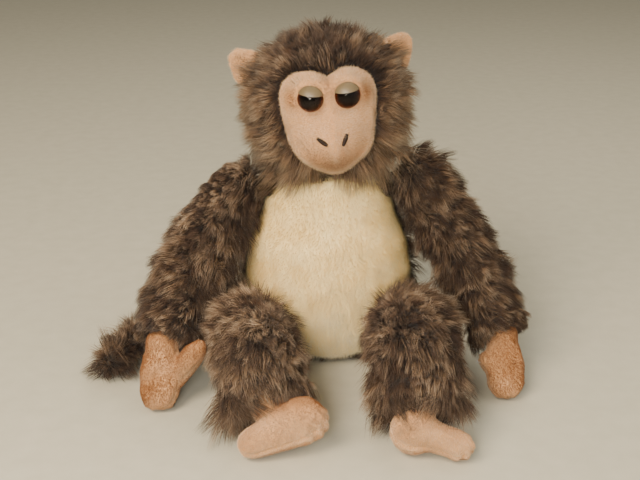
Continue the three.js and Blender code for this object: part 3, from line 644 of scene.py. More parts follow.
# %% Combs and tones
# Ranges are shares of the way from a limb's joint to its cuff.
NEAR_JOINT = (0.3, 0.0)
LOWER_LIMB = (0.55, 0.95)
NEAR_CUFF = (0.6, 1.0)
CUFF_FLAT = 2.0
LIMB_SAG = 0.3
furry_bodies = {}
for body, members in frame["record"]["behaviour"]["bodies"].items():
    furry_bodies[body] = [nodes[name].data for name in members if "filling" not in name]


def trees_beside(body):
    """A search tree over the skins of every other body."""
    return tree_of(*(mesh for other, meshes in furry_bodies.items() if other != body for mesh in meshes))


def joint_place(body):
    """Where a body turns on the one that carries it."""
    return np.array(joints[body]["pos_m"])


def along_limb(limb, end, outwards, straight=0.0):
    """A comb from a limb's joint to its cuff, and outwards, that lies flat and straighter near the cuff."""
    start = joint_place(limb)
    way = joint_place(end) - start
    length = np.linalg.norm(way)
    way = way / length
    sideways = np.array((math.copysign(1, start[0]), 0, 0))

    def comb(places, normals):
        share = (places - start) @ way / length
        flat = 1 + CUFF_FLAT * smooth_step(*NEAR_CUFF, share)
        turn = outwards + (1 - outwards) * smooth_step(*NEAR_JOINT, share)
        turn = turn - straight * smooth_step(*LOWER_LIMB, share)
        return unit(way + turn[:, None] * sideways + LIMB_SAG * DOWN) * flat[:, None]

    return comb


def mottled(low, high, seed):
    """Tones that drift over a skin between two values."""

    def tint(places):
        return low + (high - low) * soft_noise(places, BLOTCH, np.random.default_rng(seed))

    return tint


print("furry and velour bodies:", len(furry_bodies))

# %% Arm and leg trims
ARM_TOP = (0.1, 0.4)
ARM_MIDDLE = (0.5, 0.8)
ARM_CUFF = (0.8, 1.0)
CUFF_SHORTEN = 0.7
INNER_LENGTHEN = {"left": 0.3, "right": 0.9}
SLOPE_SHORTEN = {"left": 0.0, "right": 0.5}
LEG_THIGH = (0.2, 0.5)
LEG_HEM = (0.5, 0.85)
HEM_LENGTHEN = 1.0
HEM_FACING = 0.75
HEM_LEAST = 0.2
THIGH_LENGTHEN = 0.45


def arm_trim(limb, end, side):
    """Arm fur is longest where it faces the torso, and short at the cuff and on a sloping shoulder."""
    start = joint_place(limb)
    way = joint_place(end) - start
    inwards = -math.copysign(1, start[0])

    def trim(places, normals):
        share = (places - start) @ way / (way @ way)
        inner = np.clip(normals[:, 0] * inwards, 0, 1)
        outer = np.clip(normals[:, 2] - normals[:, 0] * inwards, 0, 1)
        fill = 1 + INNER_LENGTHEN[side] * inner * (1 - smooth_step(*ARM_MIDDLE, share))
        slope = 1 - SLOPE_SHORTEN[side] * outer * (1 - smooth_step(*ARM_TOP, share))
        cuff = 1 - CUFF_SHORTEN * smooth_step(*ARM_CUFF, share) * (1 - inner)
        return fill * slope * cuff

    return trim


def leg_trim(limb, end, side):
    """Leg fur is long on the thigh and at the hem, where it hangs beside the foot."""
    start = joint_place(limb)
    way = joint_place(end) - start

    def trim(places, normals):
        share = (places - start) @ way / (way @ way)
        hanging = np.clip(HEM_FACING - normals[:, 2], HEM_LEAST, 1)
        hem = HEM_LENGTHEN * smooth_step(*LEG_HEM, share) * hanging
        thigh = THIGH_LENGTHEN * (1 - smooth_step(*LEG_THIGH, share)) * np.clip(normals[:, 2], 0, 1)
        return 1 + hem + thigh

    return trim


print("fur at a leg's hem is up to", 1 + HEM_LENGTHEN, "times as long")

# %% Arms and legs
FUR_VOXEL = 2.6 * MM
FUR_ROUNDS = 8
LIMB_THINNED = 0.95
LIMB_SEED = 10
LIMB_TONE_SEED = 60
ARM_TONES = {"left": (-0.03, 0.5), "right": (-0.1, 0.42)}
LEG_TONES = {"left": (-0.08, 0.46), "right": (0.02, 0.57)}
ARM_COMB = (0.9,)
LEG_COMB = (0.6, 0.7)


def fur(name, skin, body, comb, seed, thinned=1.0, **how):
    """Both layers of a fur: dense underfur and longer guard hair."""
    for layer, coat in (("underfur", UNDERFUR), ("fur", FUR)):
        coat = {**coat, "density": coat["density"] * thinned}
        made = pile(f"{name}_{layer}", skin, comb, coat, seed, **how)
        dress(made, body, "brown_fur", brown_pile)


for number, side in enumerate(SIDES):
    for limb, end, comb, tones, trims in (
        ("arm", "hand", ARM_COMB, ARM_TONES, arm_trim), ("leg", "foot", LEG_COMB, LEG_TONES, leg_trim),
    ):
        body = f"{limb}_{side}"
        end = f"{end}_{side}"
        sleeve = f"{limb}_sleeve_{side}"
        filling = f"{limb}_filling_{side}"
        skin = stuffed_form(f"{limb}_skin_{side}", (sleeve, filling), FUR_VOXEL, FUR_ROUNDS)
        draw_in(skin, FUR_DEPTH)
        dress(skin, body, "brown_fur", fur_backing, sleeve)
        fur(
            body, skin, body, along_limb(body, end, *comb), LIMB_SEED + number, LIMB_THINNED,
            others=trees_beside(body), trim=trims(body, end, side),
            tint=mottled(*tones[side], LIMB_TONE_SEED + number),
        )

# %% [markdown]
# The torso is one stuffed form with two cloths: brown fur behind, cream plush in front. They meet at a
# seam along each side. Two forms could be modelled apart, but then the seam might gape. So one form's
# faces go to whichever CAD panel lies nearer, and each set becomes a cloth of real thickness. At the
# shoulders the fur reaches further round. Back fur lies downwards. Belly plush is short and stands up, so
# it reads as a soft bloom and not as hair.

# %% Torso cloths
CLOTH = 1.2 * MM
SEAM_BACK = 5 * MM
SEAM_SOFT = 8 * MM
SHOULDER_FUR = 14 * MM
SHOULDER_HEIGHTS = (100 * MM, 118 * MM)


def part_of(name, piece, chosen):
    """A new object of some of a piece's faces."""
    used = sorted({i for face in chosen for i in face.vertices})
    index = {old: new for new, old in enumerate(used)}
    places = places_of(piece.data)
    mesh = bpy.data.meshes.new(name)
    faces = [[index[i] for i in face.vertices] for face in chosen]
    mesh.from_pydata([tuple(places[i]) for i in used], [], faces)
    mesh.polygons.foreach_set("use_smooth", [True] * len(mesh.polygons))
    return add_object(name, mesh)


def thicken(piece, thickness):
    """Gives a cloth its thickness, on its inner side."""
    solidify = piece.modifiers.new("cloth", "SOLIDIFY")
    solidify.thickness = thickness
    solidify.offset = -1
    return settled(piece)


torso_nodes = ("back_panel", "belly_panel", "torso_filling")
torso = stuffed_form("torso_form", torso_nodes, FUR_VOXEL, FUR_ROUNDS)
back_tree = tree_of(nodes["back_panel"].data)
belly_tree = tree_of(nodes["belly_panel"].data)


def past_seam(place):
    """How much nearer a place is to the belly's cloth than to the back's."""
    seam = SEAM_BACK - SHOULDER_FUR * smooth_step(*SHOULDER_HEIGHTS, place.z)
    return back_tree.find_nearest(place)[3] - belly_tree.find_nearest(place)[3] + seam


fronts = [past_seam(face.center) > 0 for face in torso.data.polygons]
past = np.array([past_seam(corner.co) for corner in torso.data.vertices])
belly_share = smooth_step(-SEAM_SOFT, SEAM_SOFT, past)
draw_in(torso, FUR_DEPTH + (PLUSH_DEPTH - FUR_DEPTH) * belly_share)
belly_skin = part_of("belly_skin", torso, [f for f, front in zip(torso.data.polygons, fronts) if front])
back_skin = part_of("back_skin", torso, [f for f, front in zip(torso.data.polygons, fronts) if not front])
bpy.data.objects.remove(torso)
print("belly cloth:", sum(fronts), "of", len(fronts), "faces")

# %% Torso pile
SIDE_LENGTHEN = 0.4
SIDE_REACH = (25 * MM, 50 * MM)
SIDE_COMB = np.array((1.2, 0, 0)) / (50 * MM)
BACK_TONES = (0.0, 0.5)
BACK_THINNED = 0.73
BELLY_TONE = 0.12
# Paler towards the seat, where the plush lies in shade: painted to offset the yellow cast of that shade.
BELLY_SEAT_PALER = 0.75
BELLY_SEAT_HEIGHTS = (10 * MM, 65 * MM)
BELLY_DRIFT = 0.4


def downwards(places, normals):
    """A comb that runs down."""
    return np.tile(DOWN, (len(places), 1))


def down_and_out(places, normals):
    """A comb that runs down the middle of the back and outwards at its sides."""
    return unit(downwards(places, normals) + SIDE_COMB * places)


def back_trim(places, normals):
    """Fur is longest along the sides, where it fills the way to the arms."""
    return 1 + SIDE_LENGTHEN * smooth_step(*SIDE_REACH, np.abs(places[:, 0]))


def belly_tint(places):
    """Plush is yellowish in the middle, and painted paler towards the seat to offset the yellow cast of its shade
    there.
    """
    drift = soft_noise(places, BLOTCH, np.random.default_rng(65)) - 0.5
    near_seat = 1 - smooth_step(*BELLY_SEAT_HEIGHTS, places[:, 2])
    # Painted paler near the seat, against the yellow cast of its shade.
    return BELLY_TONE + BELLY_SEAT_PALER * near_seat + BELLY_DRIFT * drift


around_torso = trees_beside("torso")
fur(
    "back", back_skin, "torso", down_and_out, 21, BACK_THINNED, others=around_torso, trim=back_trim,
    tint=mottled(*BACK_TONES, 62),
)
belly_coat = pile("belly_plush", belly_skin, downwards, PLUSH, 22, others=around_torso, tint=belly_tint)
dress(belly_coat, "torso", "cream_plush", cream_pile)
for piece, cloth, slot, replaced in (
    (back_skin, fur_backing, "brown_fur", "back_panel"),
    (belly_skin, plush_backing, "cream_plush", "belly_panel"),
):
    dress(thicken(piece, CLOTH), "torso", slot, cloth, replaced)

# %% [markdown]
# The tail is a furry tube that lies round the toy on the floor and ends in a tuft. A curve could guide
# its fur, but the fur runs the way the tail goes, which is round the seat, so a turn about the upright
# axis is enough.

# %% Tail
TUFT_LENGTHEN = 1.45
TUFT_START = 30 * MM
TUFT_SIDES = 0.7
TUFT_TOP = 0.8


def round_the_seat(places, normals):
    """A comb that runs round the upright axis, from the back towards the toy's right."""
    return np.stack((-places[:, 1], places[:, 0], np.zeros(len(places))), axis=1)


def towards_tuft(places, normals):
    """Fur grows longer towards the tail's tip."""
    reach = np.clip((TUFT_START - (places[:, 1] - places[:, 1].min())) / TUFT_START, 0, 1)
    return 1 + (TUFT_LENGTHEN - 1) * reach * (TUFT_SIDES + TUFT_TOP * np.clip(normals[:, 2], 0, 1))


tail_skin = stuffed_form("tail_skin", ("tail_sleeve", "tail_filling"), FUR_VOXEL, FUR_ROUNDS)
draw_in(tail_skin, FUR_DEPTH)
dress(tail_skin, "tail", "brown_fur", fur_backing, "tail_sleeve")
fur(
    "tail", tail_skin, "tail", round_the_seat, 23, others=trees_beside("tail"), trim=towards_tuft,
    tint=mottled(*ARM_TONES["right"], 63),
)

# %% [markdown]
# The head's fur is sewn round the face and combed away from it, back over the skull and down into a ruff.
# Left, back and up on a tilted head aren't the scene's axes, so the head has a frame of its own, worked
# out from the neck's axis and from the two eyes. The fur itself is grown after the face, which has to
# stay bare.

# %% Head frame
def middle_of(name):
    """The mean corner of a CAD node, which is on the axis of a turned one."""
    return Vector(places_of(nodes[name].data).mean(0))


neck = joints["head"]
head_up = Vector(neck["axis"])
eye_line = middle_of("eye_washer_left") - middle_of("eye_washer_right")
head_left = (eye_line - head_up * eye_line.dot(head_up)).normalized()
head_back = head_up.cross(head_left)
head_frame = Matrix((head_left, head_back, head_up)).transposed().to_4x4()
head_frame.translation = Vector(neck["pos_m"])


def in_head(places):
    """Places in the head's own frame: left, back, up."""
    return (np.asarray(places) - np.array(head_frame.translation)) @ np.array(head_frame.to_3x3())


def from_head(places):
    """Places in the head's own frame, put back."""
    return np.asarray(places) @ np.array(head_frame.to_3x3()).T + np.array(head_frame.translation)


face_low = in_head(places_of(nodes["face_panel"].data)).min(0)
face_high = in_head(places_of(nodes["face_panel"].data)).max(0)
face_middle = (face_low + face_high) / 2
ear_middles = {side: in_head([middle_of(f"ear_{side}")])[0] for side in SIDES}
print("face panel:", np.round((face_high - face_low) / MM), "mm")

# %% Head
HEAD_THINNED = 0.82
COMB_OUT = 0.3
COMB_BACK = 0.55
COMB_DOWN = 0.35
HEAD_LENGTH = 1.1
RUFF_LENGTHEN = 1.3
RUFF_DEPTH = 40 * MM
CHIN_PART = 10 * MM
CHIN_BELOW = 8 * MM
CHIN_SHORTEN = 0.6
EAR_HIDE = 16 * MM
EAR_LENGTHEN = {"left": 1.0, "right": 0.5}
CHEEK_TONE = 0.78
CROWN_DARKER = 0.72
CROWN_ABOVE = 10 * MM
HEAD_SIDES = (15 * MM, 40 * MM)
SIDES_PALER = 0.4
HEAD_DRIFT = 0.5


def away_from_face(places, normals):
    """A comb that runs out from the face in front, and back and down elsewhere."""
    radial = in_head(places) - face_middle
    radial[:, 1] = 0
    out = unit(radial) @ np.array(head_frame.to_3x3()).T
    facing = np.clip(-normals @ np.array(head_back), 0, 1)[:, None]
    return unit(out * (COMB_OUT + facing) + np.array(head_back) * COMB_BACK + DOWN * COMB_DOWN)


def head_trim(places, normals):
    """Fur is longest in the ruff along the jaw, long round the ears and parted under the chin."""
    local = in_head(places)
    low = 1 - smooth_step(face_low[2], face_middle[2], local[:, 2])
    ahead = 1 - smooth_step(0, RUFF_DEPTH, local[:, 1])
    near_chin = smooth_step(face_low[2] - CHIN_BELOW, face_low[2], local[:, 2])
    chin = np.exp(-(local[:, 0] / CHIN_PART) ** 2) * near_chin * low
    trimmed = HEAD_LENGTH + RUFF_LENGTHEN * low * ahead
    for side, ear in ear_middles.items():
        trimmed += EAR_LENGTHEN[side] * np.exp(-((local - ear) ** 2).sum(1) / EAR_HIDE ** 2)
    return trimmed * (1 - CHIN_SHORTEN * chin)


def head_tint(places):
    """Fur is darkest on the crown and palest on the cheeks and the ruff."""
    local = in_head(places)
    crown = smooth_step(face_middle[2], face_high[2] + CROWN_ABOVE, local[:, 2])
    beside = smooth_step(*HEAD_SIDES, np.abs(local[:, 0]))
    drift = soft_noise(places, BLOTCH, np.random.default_rng(64)) - 0.5
    return CHEEK_TONE - CROWN_DARKER * crown * (1 - SIDES_PALER * beside) + HEAD_DRIFT * drift


head_skin = stuffed_form("head_skin", ("head_hood", "head_filling"), FUR_VOXEL, FUR_ROUNDS)
draw_in(head_skin, FUR_DEPTH)
dress(head_skin, "head", "brown_fur", fur_backing, "head_hood")
print("head skin:", len(head_skin.data.polygons), "faces")

# %% [markdown]
# The face is one panel of shorn velour, eased over the stuffing and sewn into the fur, so its edge turns
# under. The CAD panel could be smoothed as it is, but its edge might go ragged. So its outline and depth
# come from rays shot at it, and the depth is then smoothed, as cloth can't hold a sharp fold. The jowls
# and the chin reach a little further than the CAD's, to come nearer to the photograph. Cloth is pressed
# flat where an eye is clamped on, and a soft ridge runs down the muzzle.

# %% Face outline and depth
FACE_SPOKES = 240
FACE_PITCH = 1.0 * MM
FACE_BLUR = 3
OUTLINE_ROUNDS = 40
PEAK_TURN = (0.2, 0.5)
CHIN_DROOP = 3.0 * MM
CHIN_WIDTH = math.radians(16)
JOWL = 4.3 * MM
JOWL_TURN = math.radians(50)
JOWL_WIDTH = math.radians(38)

face_places = in_head(places_of(nodes["face_panel"].data))
face_corners = [list(f.vertices) for f in nodes["face_panel"].data.polygons]
face_tree = BVHTree.FromPolygons([Vector(p) for p in face_places], face_corners)
face_across = np.arange(face_low[0], face_high[0] + FACE_PITCH, FACE_PITCH)
face_up = np.arange(face_low[2], face_high[2] + FACE_PITCH, FACE_PITCH)


def face_depth(x, z):
    """How far back the face lies, or nothing beside it."""
    hit = face_tree.ray_cast(Vector((x, -1, z)), Vector((0, 1, 0)))[0]
    return np.nan if hit is None else hit.y


def filled_in(grid):
    """A grid whose gaps are filled from their neighbours."""
    while np.isnan(grid).any():
        padded = np.pad(grid, 1, constant_values=np.nan)
        beside = np.stack((padded[:-2, 1:-1], padded[2:, 1:-1], padded[1:-1, :-2], padded[1:-1, 2:]))
        counts = (~np.isnan(beside)).sum(0)
        means = np.where(counts > 0, np.nansum(beside, axis=0) / np.maximum(counts, 1), np.nan)
        grid = np.where(np.isnan(grid), means, grid)
    return grid


def blurred(grid, size):
    """A grid smoothed by a bell curve, a given number of cells wide."""
    span = np.arange(-3 * size, 3 * size + 1)
    bell = np.exp(-(span / size) ** 2 / 2)
    bell /= bell.sum()
    for axis in (0, 1):
        wide = np.pad(grid, [(3 * size, 3 * size) if a == axis else (0, 0) for a in (0, 1)], mode="edge")
        grid = np.apply_along_axis(lambda row: np.convolve(row, bell, mode="valid"), axis, wide)
    return grid


def face_reach(angle):
    """How far the face reaches from its middle in one direction."""
    reach = face_high[2] - face_low[2]
    across, up = math.cos(angle), math.sin(angle)
    while np.isnan(face_depth(face_middle[0] + reach * across, face_middle[2] + reach * up)):
        reach -= FACE_PITCH / 4
    return reach


def on_grid(grid, x, z):
    """A grid's values at any places, by the four nearest cells."""
    column = np.clip((x - face_across[0]) / FACE_PITCH, 0, len(face_across) - 1.001)
    row = np.clip((z - face_up[0]) / FACE_PITCH, 0, len(face_up) - 1.001)
    i, j = row.astype(int), column.astype(int)
    u, v = row - i, column - j
    low = grid[i, j] * (1 - v) + grid[i, j + 1] * v
    high = grid[i + 1, j] * (1 - v) + grid[i + 1, j + 1] * v
    return low * (1 - u) + high * u


hit_depths = np.array([[face_depth(x, z) for x in face_across] for z in face_up])
depths = blurred(filled_in(hit_depths), FACE_BLUR)
spokes = 2 * math.pi * np.arange(FACE_SPOKES) / FACE_SPOKES
reaches = np.array([face_reach(angle) for angle in spokes])
at_peak = 1 - smooth_step(*PEAK_TURN, np.abs(spokes - math.pi / 2))
for _ in range(OUTLINE_ROUNDS):
    eased = (np.roll(reaches, 1) + 2 * reaches + np.roll(reaches, -1)) / 4
    reaches = eased + (reaches - eased) * at_peak
from_chin = np.abs((spokes - 0.5 * math.pi) % (2 * math.pi) - math.pi)
reaches += CHIN_DROOP * np.exp(-(from_chin / CHIN_WIDTH) ** 2)
reaches += JOWL * np.exp(-((from_chin - JOWL_TURN) / JOWL_WIDTH) ** 2)


def face_share(local):
    """How far out towards the face's edge places lie: 0 in the middle, 1 at the edge."""
    x, z = local[:, 0] - face_middle[0], local[:, 2] - face_middle[2]
    turn = np.arctan2(z, x) % (2 * math.pi)
    return np.hypot(x, z) / np.interp(turn, spokes, reaches, period=2 * math.pi)


print("face reaches", np.round(reaches.min() / MM, 1), "to", np.round(reaches.max() / MM, 1), "mm")

# %% Face skin
FACE_RINGS = 46
FACE_TURN_UNDER = 5.0 * MM
FACE_EDGE = 0.84
EDGE_CURVE = 1.5
RIDGE_HEIGHT = 0.8 * MM
RIDGE_WIDTH = 2.2 * MM
RIDGE_FOOT = 8 * MM
RIDGE_HEAD = 12 * MM
MUZZLE_INSET = 4 * MM
EYE_SEAT = 9.0 * MM
EYE_PUCKER = 13.0 * MM
POST_RADIUS = 5 * MM
VELOUR = 1.3 * MM
muzzle_low = face_low[2] + MUZZLE_INSET
muzzle_high = face_middle[2] + MUZZLE_INSET


def eye_seat(side):
    """Where an eye's disc sits on the velour, and the eye's axis."""
    middle = middle_of(f"eye_washer_{side}")
    axis = (middle_of(f"eye_dome_{side}") - middle).normalized()
    corners = [v.co for v in nodes[f"eye_disc_{side}"].data.vertices]
    base = min(c.dot(axis) for c in corners if (c - middle).cross(axis).length > POST_RADIUS)
    return middle + axis * (base - middle.dot(axis)), axis


def ridge_of(across, up):
    """Where the muzzle's ridge runs."""
    low = smooth_step(muzzle_low, muzzle_low + RIDGE_FOOT, up)
    high = smooth_step(muzzle_high - RIDGE_HEAD, muzzle_high, up)
    return low * (1 - high) * np.exp(-(across / RIDGE_WIDTH) ** 2)


eyes = {side: eye_seat(side) for side in SIDES}
rings = np.linspace(0, 1, FACE_RINGS + 1)[1:]
share, angle = np.meshgrid(rings, spokes, indexing="ij")
x = np.append((share * reaches * np.cos(angle)).ravel(), 0) + face_middle[0]
z = np.append((share * reaches * np.sin(angle)).ravel(), 0) + face_middle[2]
share = np.append(share.ravel(), 0)
y = on_grid(depths, x, z) - RIDGE_HEIGHT * ridge_of(x, z)
y += FACE_TURN_UNDER * smooth_step(FACE_EDGE, 1.0, share) ** EDGE_CURVE
face_points = from_head(np.stack((x, y, z), axis=1))
for eye_base, eye_axis in eyes.values():
    beside = face_points - np.array(eye_base)
    height = beside @ np.array(eye_axis)
    beside -= height[:, None] * np.array(eye_axis)
    press = 1 - smooth_step(EYE_SEAT, EYE_PUCKER, np.linalg.norm(beside, axis=1))
    face_points -= (height * press)[:, None] * np.array(eye_axis)
inner = np.arange(FACE_RINGS - 1)[:, None] * FACE_SPOKES
outer = inner + FACE_SPOKES
here = np.arange(FACE_SPOKES)
after = np.roll(here, -1)
quads = np.stack((inner + here, outer + here, outer + after, inner + after), axis=-1).reshape(-1, 4)
centre = np.full(FACE_SPOKES, FACE_RINGS * FACE_SPOKES)
face_mesh = mesh_of("face_skin", face_points, quads, np.stack((here, after, centre), axis=1))
face_skin = add_object("face_skin", face_mesh)


print("face skin:", len(face_mesh.polygons), "faces")

# %% Face nap and head fur
FACE_TONE = 0.84
# Paler at the face's edge, where the velour turns under: painted sheen.
EDGE_SHEEN_PALER = 0.3
EDGE_SHARES = (0.8, 1.0)
MUZZLE_DEEPER = 0.56
MUZZLE_HEIGHTS = (8 * MM, 26 * MM)
MUZZLE_SHARES = (0.75, 0.97)
# Paler along the muzzle's raised ridge: a painted highlight.
RIDGE_HIGHLIGHT = 0.3
BROW_DEEPER = 0.5
BROW_DROP = 9 * MM
BROW_SIZE = (6 * MM, 7 * MM)
# Deeper at each eye's outer corner, in the recess round the eye: painted shade.
CORNER_SHADE = 0.8
CORNER_OUT = 10 * MM
CORNER_SIZE = (6 * MM, 6 * MM)
CHEEK_PALER = 0.2
CHEEK_DROP = 13 * MM
CHEEK_SIZE = (7 * MM, 7 * MM)
HIDDEN_SHARES = (1.0, 1.12)


def spot(across, up, size):
    """A soft spot at the origin, with a width and a height."""
    return np.exp(-(across / size[0]) ** 2 - (up / size[1]) ** 2)


def face_tint(places):
    """Peach is paler on the cheeks and deeper at the brow and the muzzle, with painted sheen at the edge, a
    painted highlight on the ridge and painted shade at the eyes' outer corners.
    """
    local = in_head(places)
    across, up = local[:, 0], local[:, 2]
    edge = face_share(local)
    # Painted sheen: paler towards the face's edge.
    tone = FACE_TONE + EDGE_SHEEN_PALER * smooth_step(*EDGE_SHARES, edge)
    low = 1 - smooth_step(*MUZZLE_HEIGHTS, up - face_low[2])
    tone -= MUZZLE_DEEPER * low * (1 - smooth_step(*MUZZLE_SHARES, edge))
    # Painted highlight along the ridge.
    tone += RIDGE_HIGHLIGHT * ridge_of(across, up)
    tone -= BROW_DEEPER * spot(across, up - face_high[2] + BROW_DROP, BROW_SIZE)
    for eye_base, _ in eyes.values():
        eye = in_head([eye_base])[0]
        corner = eye[0] + math.copysign(CORNER_OUT, eye[0])
        # Painted shade at the eye's outer corner.
        tone -= CORNER_SHADE * spot(across - corner, up - eye[2], CORNER_SIZE)
        tone += CHEEK_PALER * spot(across - eye[0], up - eye[2] + CHEEK_DROP, CHEEK_SIZE)
    return np.clip(tone, 0, 1)


eye_pieces = [nodes[f"{kind}_{side}"].data for kind in ("eye_disc", "eye_dome", "eyelid") for side in SIDES]
face_coat = pile("face_nap", face_skin, away_from_face, NAP, 30, cover=tree_of(*eye_pieces), tint=face_tint)
hood = in_head(places_of(head_skin.data))
behind = on_grid(depths, hood[:, 0], hood[:, 2]) + FACE_TURN_UNDER + VELOUR
hidden = 1 - smooth_step(*HIDDEN_SHARES, face_share(hood))
hood[:, 1] += np.maximum(behind - hood[:, 1], 0) * hidden
put_places(head_skin.data, from_head(hood))
under_cloth = tree_of(nodes["face_panel"].data, face_skin.data)
fur(
    "head", head_skin, "head", away_from_face, 27, HEAD_THINNED, cover=under_cloth, trim=head_trim,
    tint=head_tint,
)
dress(thicken(face_skin, VELOUR), "head", "peach_velour", velour_cloth, "face_panel")
dress(face_coat, "head", "peach_velour", peach_nap)

# %% [markdown]
# The ears are small cups of velour, drawn to a soft point. The fur hides all but their tips. A cup could
# be cut into the form, but pressing its front in with a soft dent keeps the rim as round as a turned hem.

# %% Ears
EAR_VOXEL = 1.2 * MM
EAR_ROUNDS = 5
EAR_CUP = 4.0 * MM
EAR_CUP_WIDTH = 9 * MM
EAR_POINT = 3.5 * MM
POINT_SHARES = (0.3, 1.0)
RIM_TONE = 1.05
# Deeper in an ear's cup: painted shade in the hollow.
CUP_SHADE = 0.7


def in_cup(off):
    """How far places lie in an ear's cup, from their offsets to its middle."""
    return np.exp(-(off[:, 0] ** 2 + off[:, 2] ** 2) / EAR_CUP_WIDTH ** 2)


def ear_tint(places):
    """Ears are pale at the rim, with painted shade deeper in the cup and behind it."""
    return RIM_TONE - CUP_SHADE * in_cup(in_head(places) - in_head(places).mean(0))


for side in SIDES:
    ear = stuffed_form(f"ear_skin_{side}", (f"ear_{side}",), EAR_VOXEL, EAR_ROUNDS)
    places = places_of(ear.data)
    facing = np.clip(-normals_of(ear.data) @ np.array(head_back), 0, 1)
    off = in_head(places) - in_head(places).mean(0)
    cup = EAR_CUP * facing * in_cup(off)
    corner = np.array((math.copysign(1, ear_middles[side][0]), 0, 1)) / math.sqrt(2)
    towards = off @ corner
    point = EAR_POINT * smooth_step(*POINT_SHARES, towards / towards.max()) ** 2
    corner_way = from_head([corner]) - from_head([(0, 0, 0)])
    places += cup[:, None] * np.array(head_back) + point[:, None] * corner_way
    put_places(ear.data, places)
    coat = pile(f"ear_nap_{side}", ear, away_from_face, NAP, 31, tint=ear_tint)
    dress(ear, "head", "peach_velour", velour_cloth, f"ear_{side}")
    dress(coat, "head", "peach_velour", peach_nap)
    print(ear.name, len(ear.data.polygons), "faces")

# %% [markdown]
# Each eye is a safety eye: a painted disc behind a clear dome, under an olive lid that is moulded with
# it. A painted ball would be simpler, but the dome is real clear plastic, moulded round the disc with no
# air between, so the paint fills it when seen through it. Disc and dome are turned from a profile, and
# the lid is a thin shell.

# %% Eye shapes
EYE_TURNS = 64
DOME_BASE = 1.3 * MM
DOME_TOP = 7.4 * MM
DOME_RADIUS = 7.5 * MM
LID_GAP = 0.3 * MM
LID_BEHIND = 0.4 * MM
LID_THICKNESS = 0.9 * MM
LID_EDGE = 3.0 * MM
LID_BEVEL = 0.25 * MM
LID_ROWS = 18
LID_COLUMNS = 40
# A lid stops just short of its top, where its rows would shrink to a point.
LID_TOP_SHARE = 0.999
dome_sphere = (DOME_RADIUS ** 2 + (DOME_TOP - DOME_BASE) ** 2) / (2 * (DOME_TOP - DOME_BASE))
dome_centre = DOME_TOP - dome_sphere


def lathe(name, profile, base, axis):
    """A turned piece: pairs of radius and height, about an axis, shut at both ends."""
    sideways = axis.orthogonal().normalized()
    upright = axis.cross(sideways)
    turns = 2 * math.pi * np.arange(EYE_TURNS) / EYE_TURNS
    circle = np.cos(turns)[:, None] * np.array(sideways) + np.sin(turns)[:, None] * np.array(upright)
    points = np.concatenate([circle * radius + np.array(base + axis * height) for radius, height in profile])
    starts = np.arange(len(profile) - 1)[:, None] * EYE_TURNS
    here, after = np.arange(EYE_TURNS), np.roll(np.arange(EYE_TURNS), -1)
    quads = np.stack(
        (starts + here, starts + after, starts + EYE_TURNS + after, starts + EYE_TURNS + here), axis=-1
    ).reshape(-1, 4)
    ends = [base + axis * profile[0][1], base + axis * profile[-1][1]]
    points = np.concatenate((points, np.array([tuple(end) for end in ends])))
    first, last = len(points) - 2, len(points) - 1
    top = len(profile) * EYE_TURNS - EYE_TURNS
    triangles = np.concatenate((
        np.stack((after, here, np.full(EYE_TURNS, first)), axis=1),
        np.stack((top + here, top + after, np.full(EYE_TURNS, last)), axis=1),
    ))
    return add_object(name, mesh_of(name, points, quads, triangles))


def lid_shell(name, base, axis, tilt):
    """The upper part of a shell over the dome, down to a straight edge that tilts a little."""
    up = (head_up - axis * head_up.dot(axis)).normalized()
    up = Matrix.Rotation(tilt, 3, axis) @ up
    across = axis.cross(up)
    radius = dome_sphere + LID_GAP
    back = DOME_BASE - LID_BEHIND - dome_centre
    top = math.sqrt(radius ** 2 - back ** 2)
    points = []
    for row in range(LID_ROWS + 1):
        height = LID_EDGE + (top * LID_TOP_SHARE - LID_EDGE) * row / LID_ROWS
        circle = math.sqrt(radius ** 2 - height ** 2)
        widest = math.acos(min(1, back / circle))
        for column in range(LID_COLUMNS + 1):
            turn = widest * (2 * column / LID_COLUMNS - 1)
            forward = dome_centre + circle * math.cos(turn)
            points.append(base + axis * forward + across * circle * math.sin(turn) + up * height)
    step = LID_COLUMNS + 1
    quads = [
        (row * step + c, row * step + c + 1, row * step + step + c + 1, row * step + step + c)
        for row in range(LID_ROWS) for c in range(LID_COLUMNS)
    ]
    no_triangles = np.empty((0, 3), dtype=int)
    mesh = mesh_of(name, np.array([tuple(p) for p in points]), np.array(quads), no_triangles)
    piece = add_object(name, mesh)
    solidify = piece.modifiers.new("shell", "SOLIDIFY")
    solidify.thickness = LID_THICKNESS
    solidify.offset = 1
    bevel = piece.modifiers.new("edge", "BEVEL")
    bevel.width = LID_BEVEL
    bevel.segments = 2
    return settled(piece)


print("dome's sphere:", round(2 * dome_sphere / MM, 1), "mm across")

# %% Eye finishes
ACRYLIC_INDEX = 1.49
# The dome's index is set below acrylic's. At 1.49 it mirrored the pale floor and greyed the pupils.
DOME_INDEX = 1.25
PUPIL_SHARE = 0.62


def plastic(name, colour, roughness, index=ACRYLIC_INDEX, transmission=0.0):
    """A moulded plastic."""
    material = new_material(name)
    shader = add_node(
        material, "ShaderNodeBsdfPrincipled",
        {
            "Base Color": linear(colour), "Roughness": roughness, "IOR": index,
            "Transmission Weight": transmission,
        },
    )
    add_node(material, "ShaderNodeOutputMaterial", links={"Surface": shader.outputs["BSDF"]})
    return material


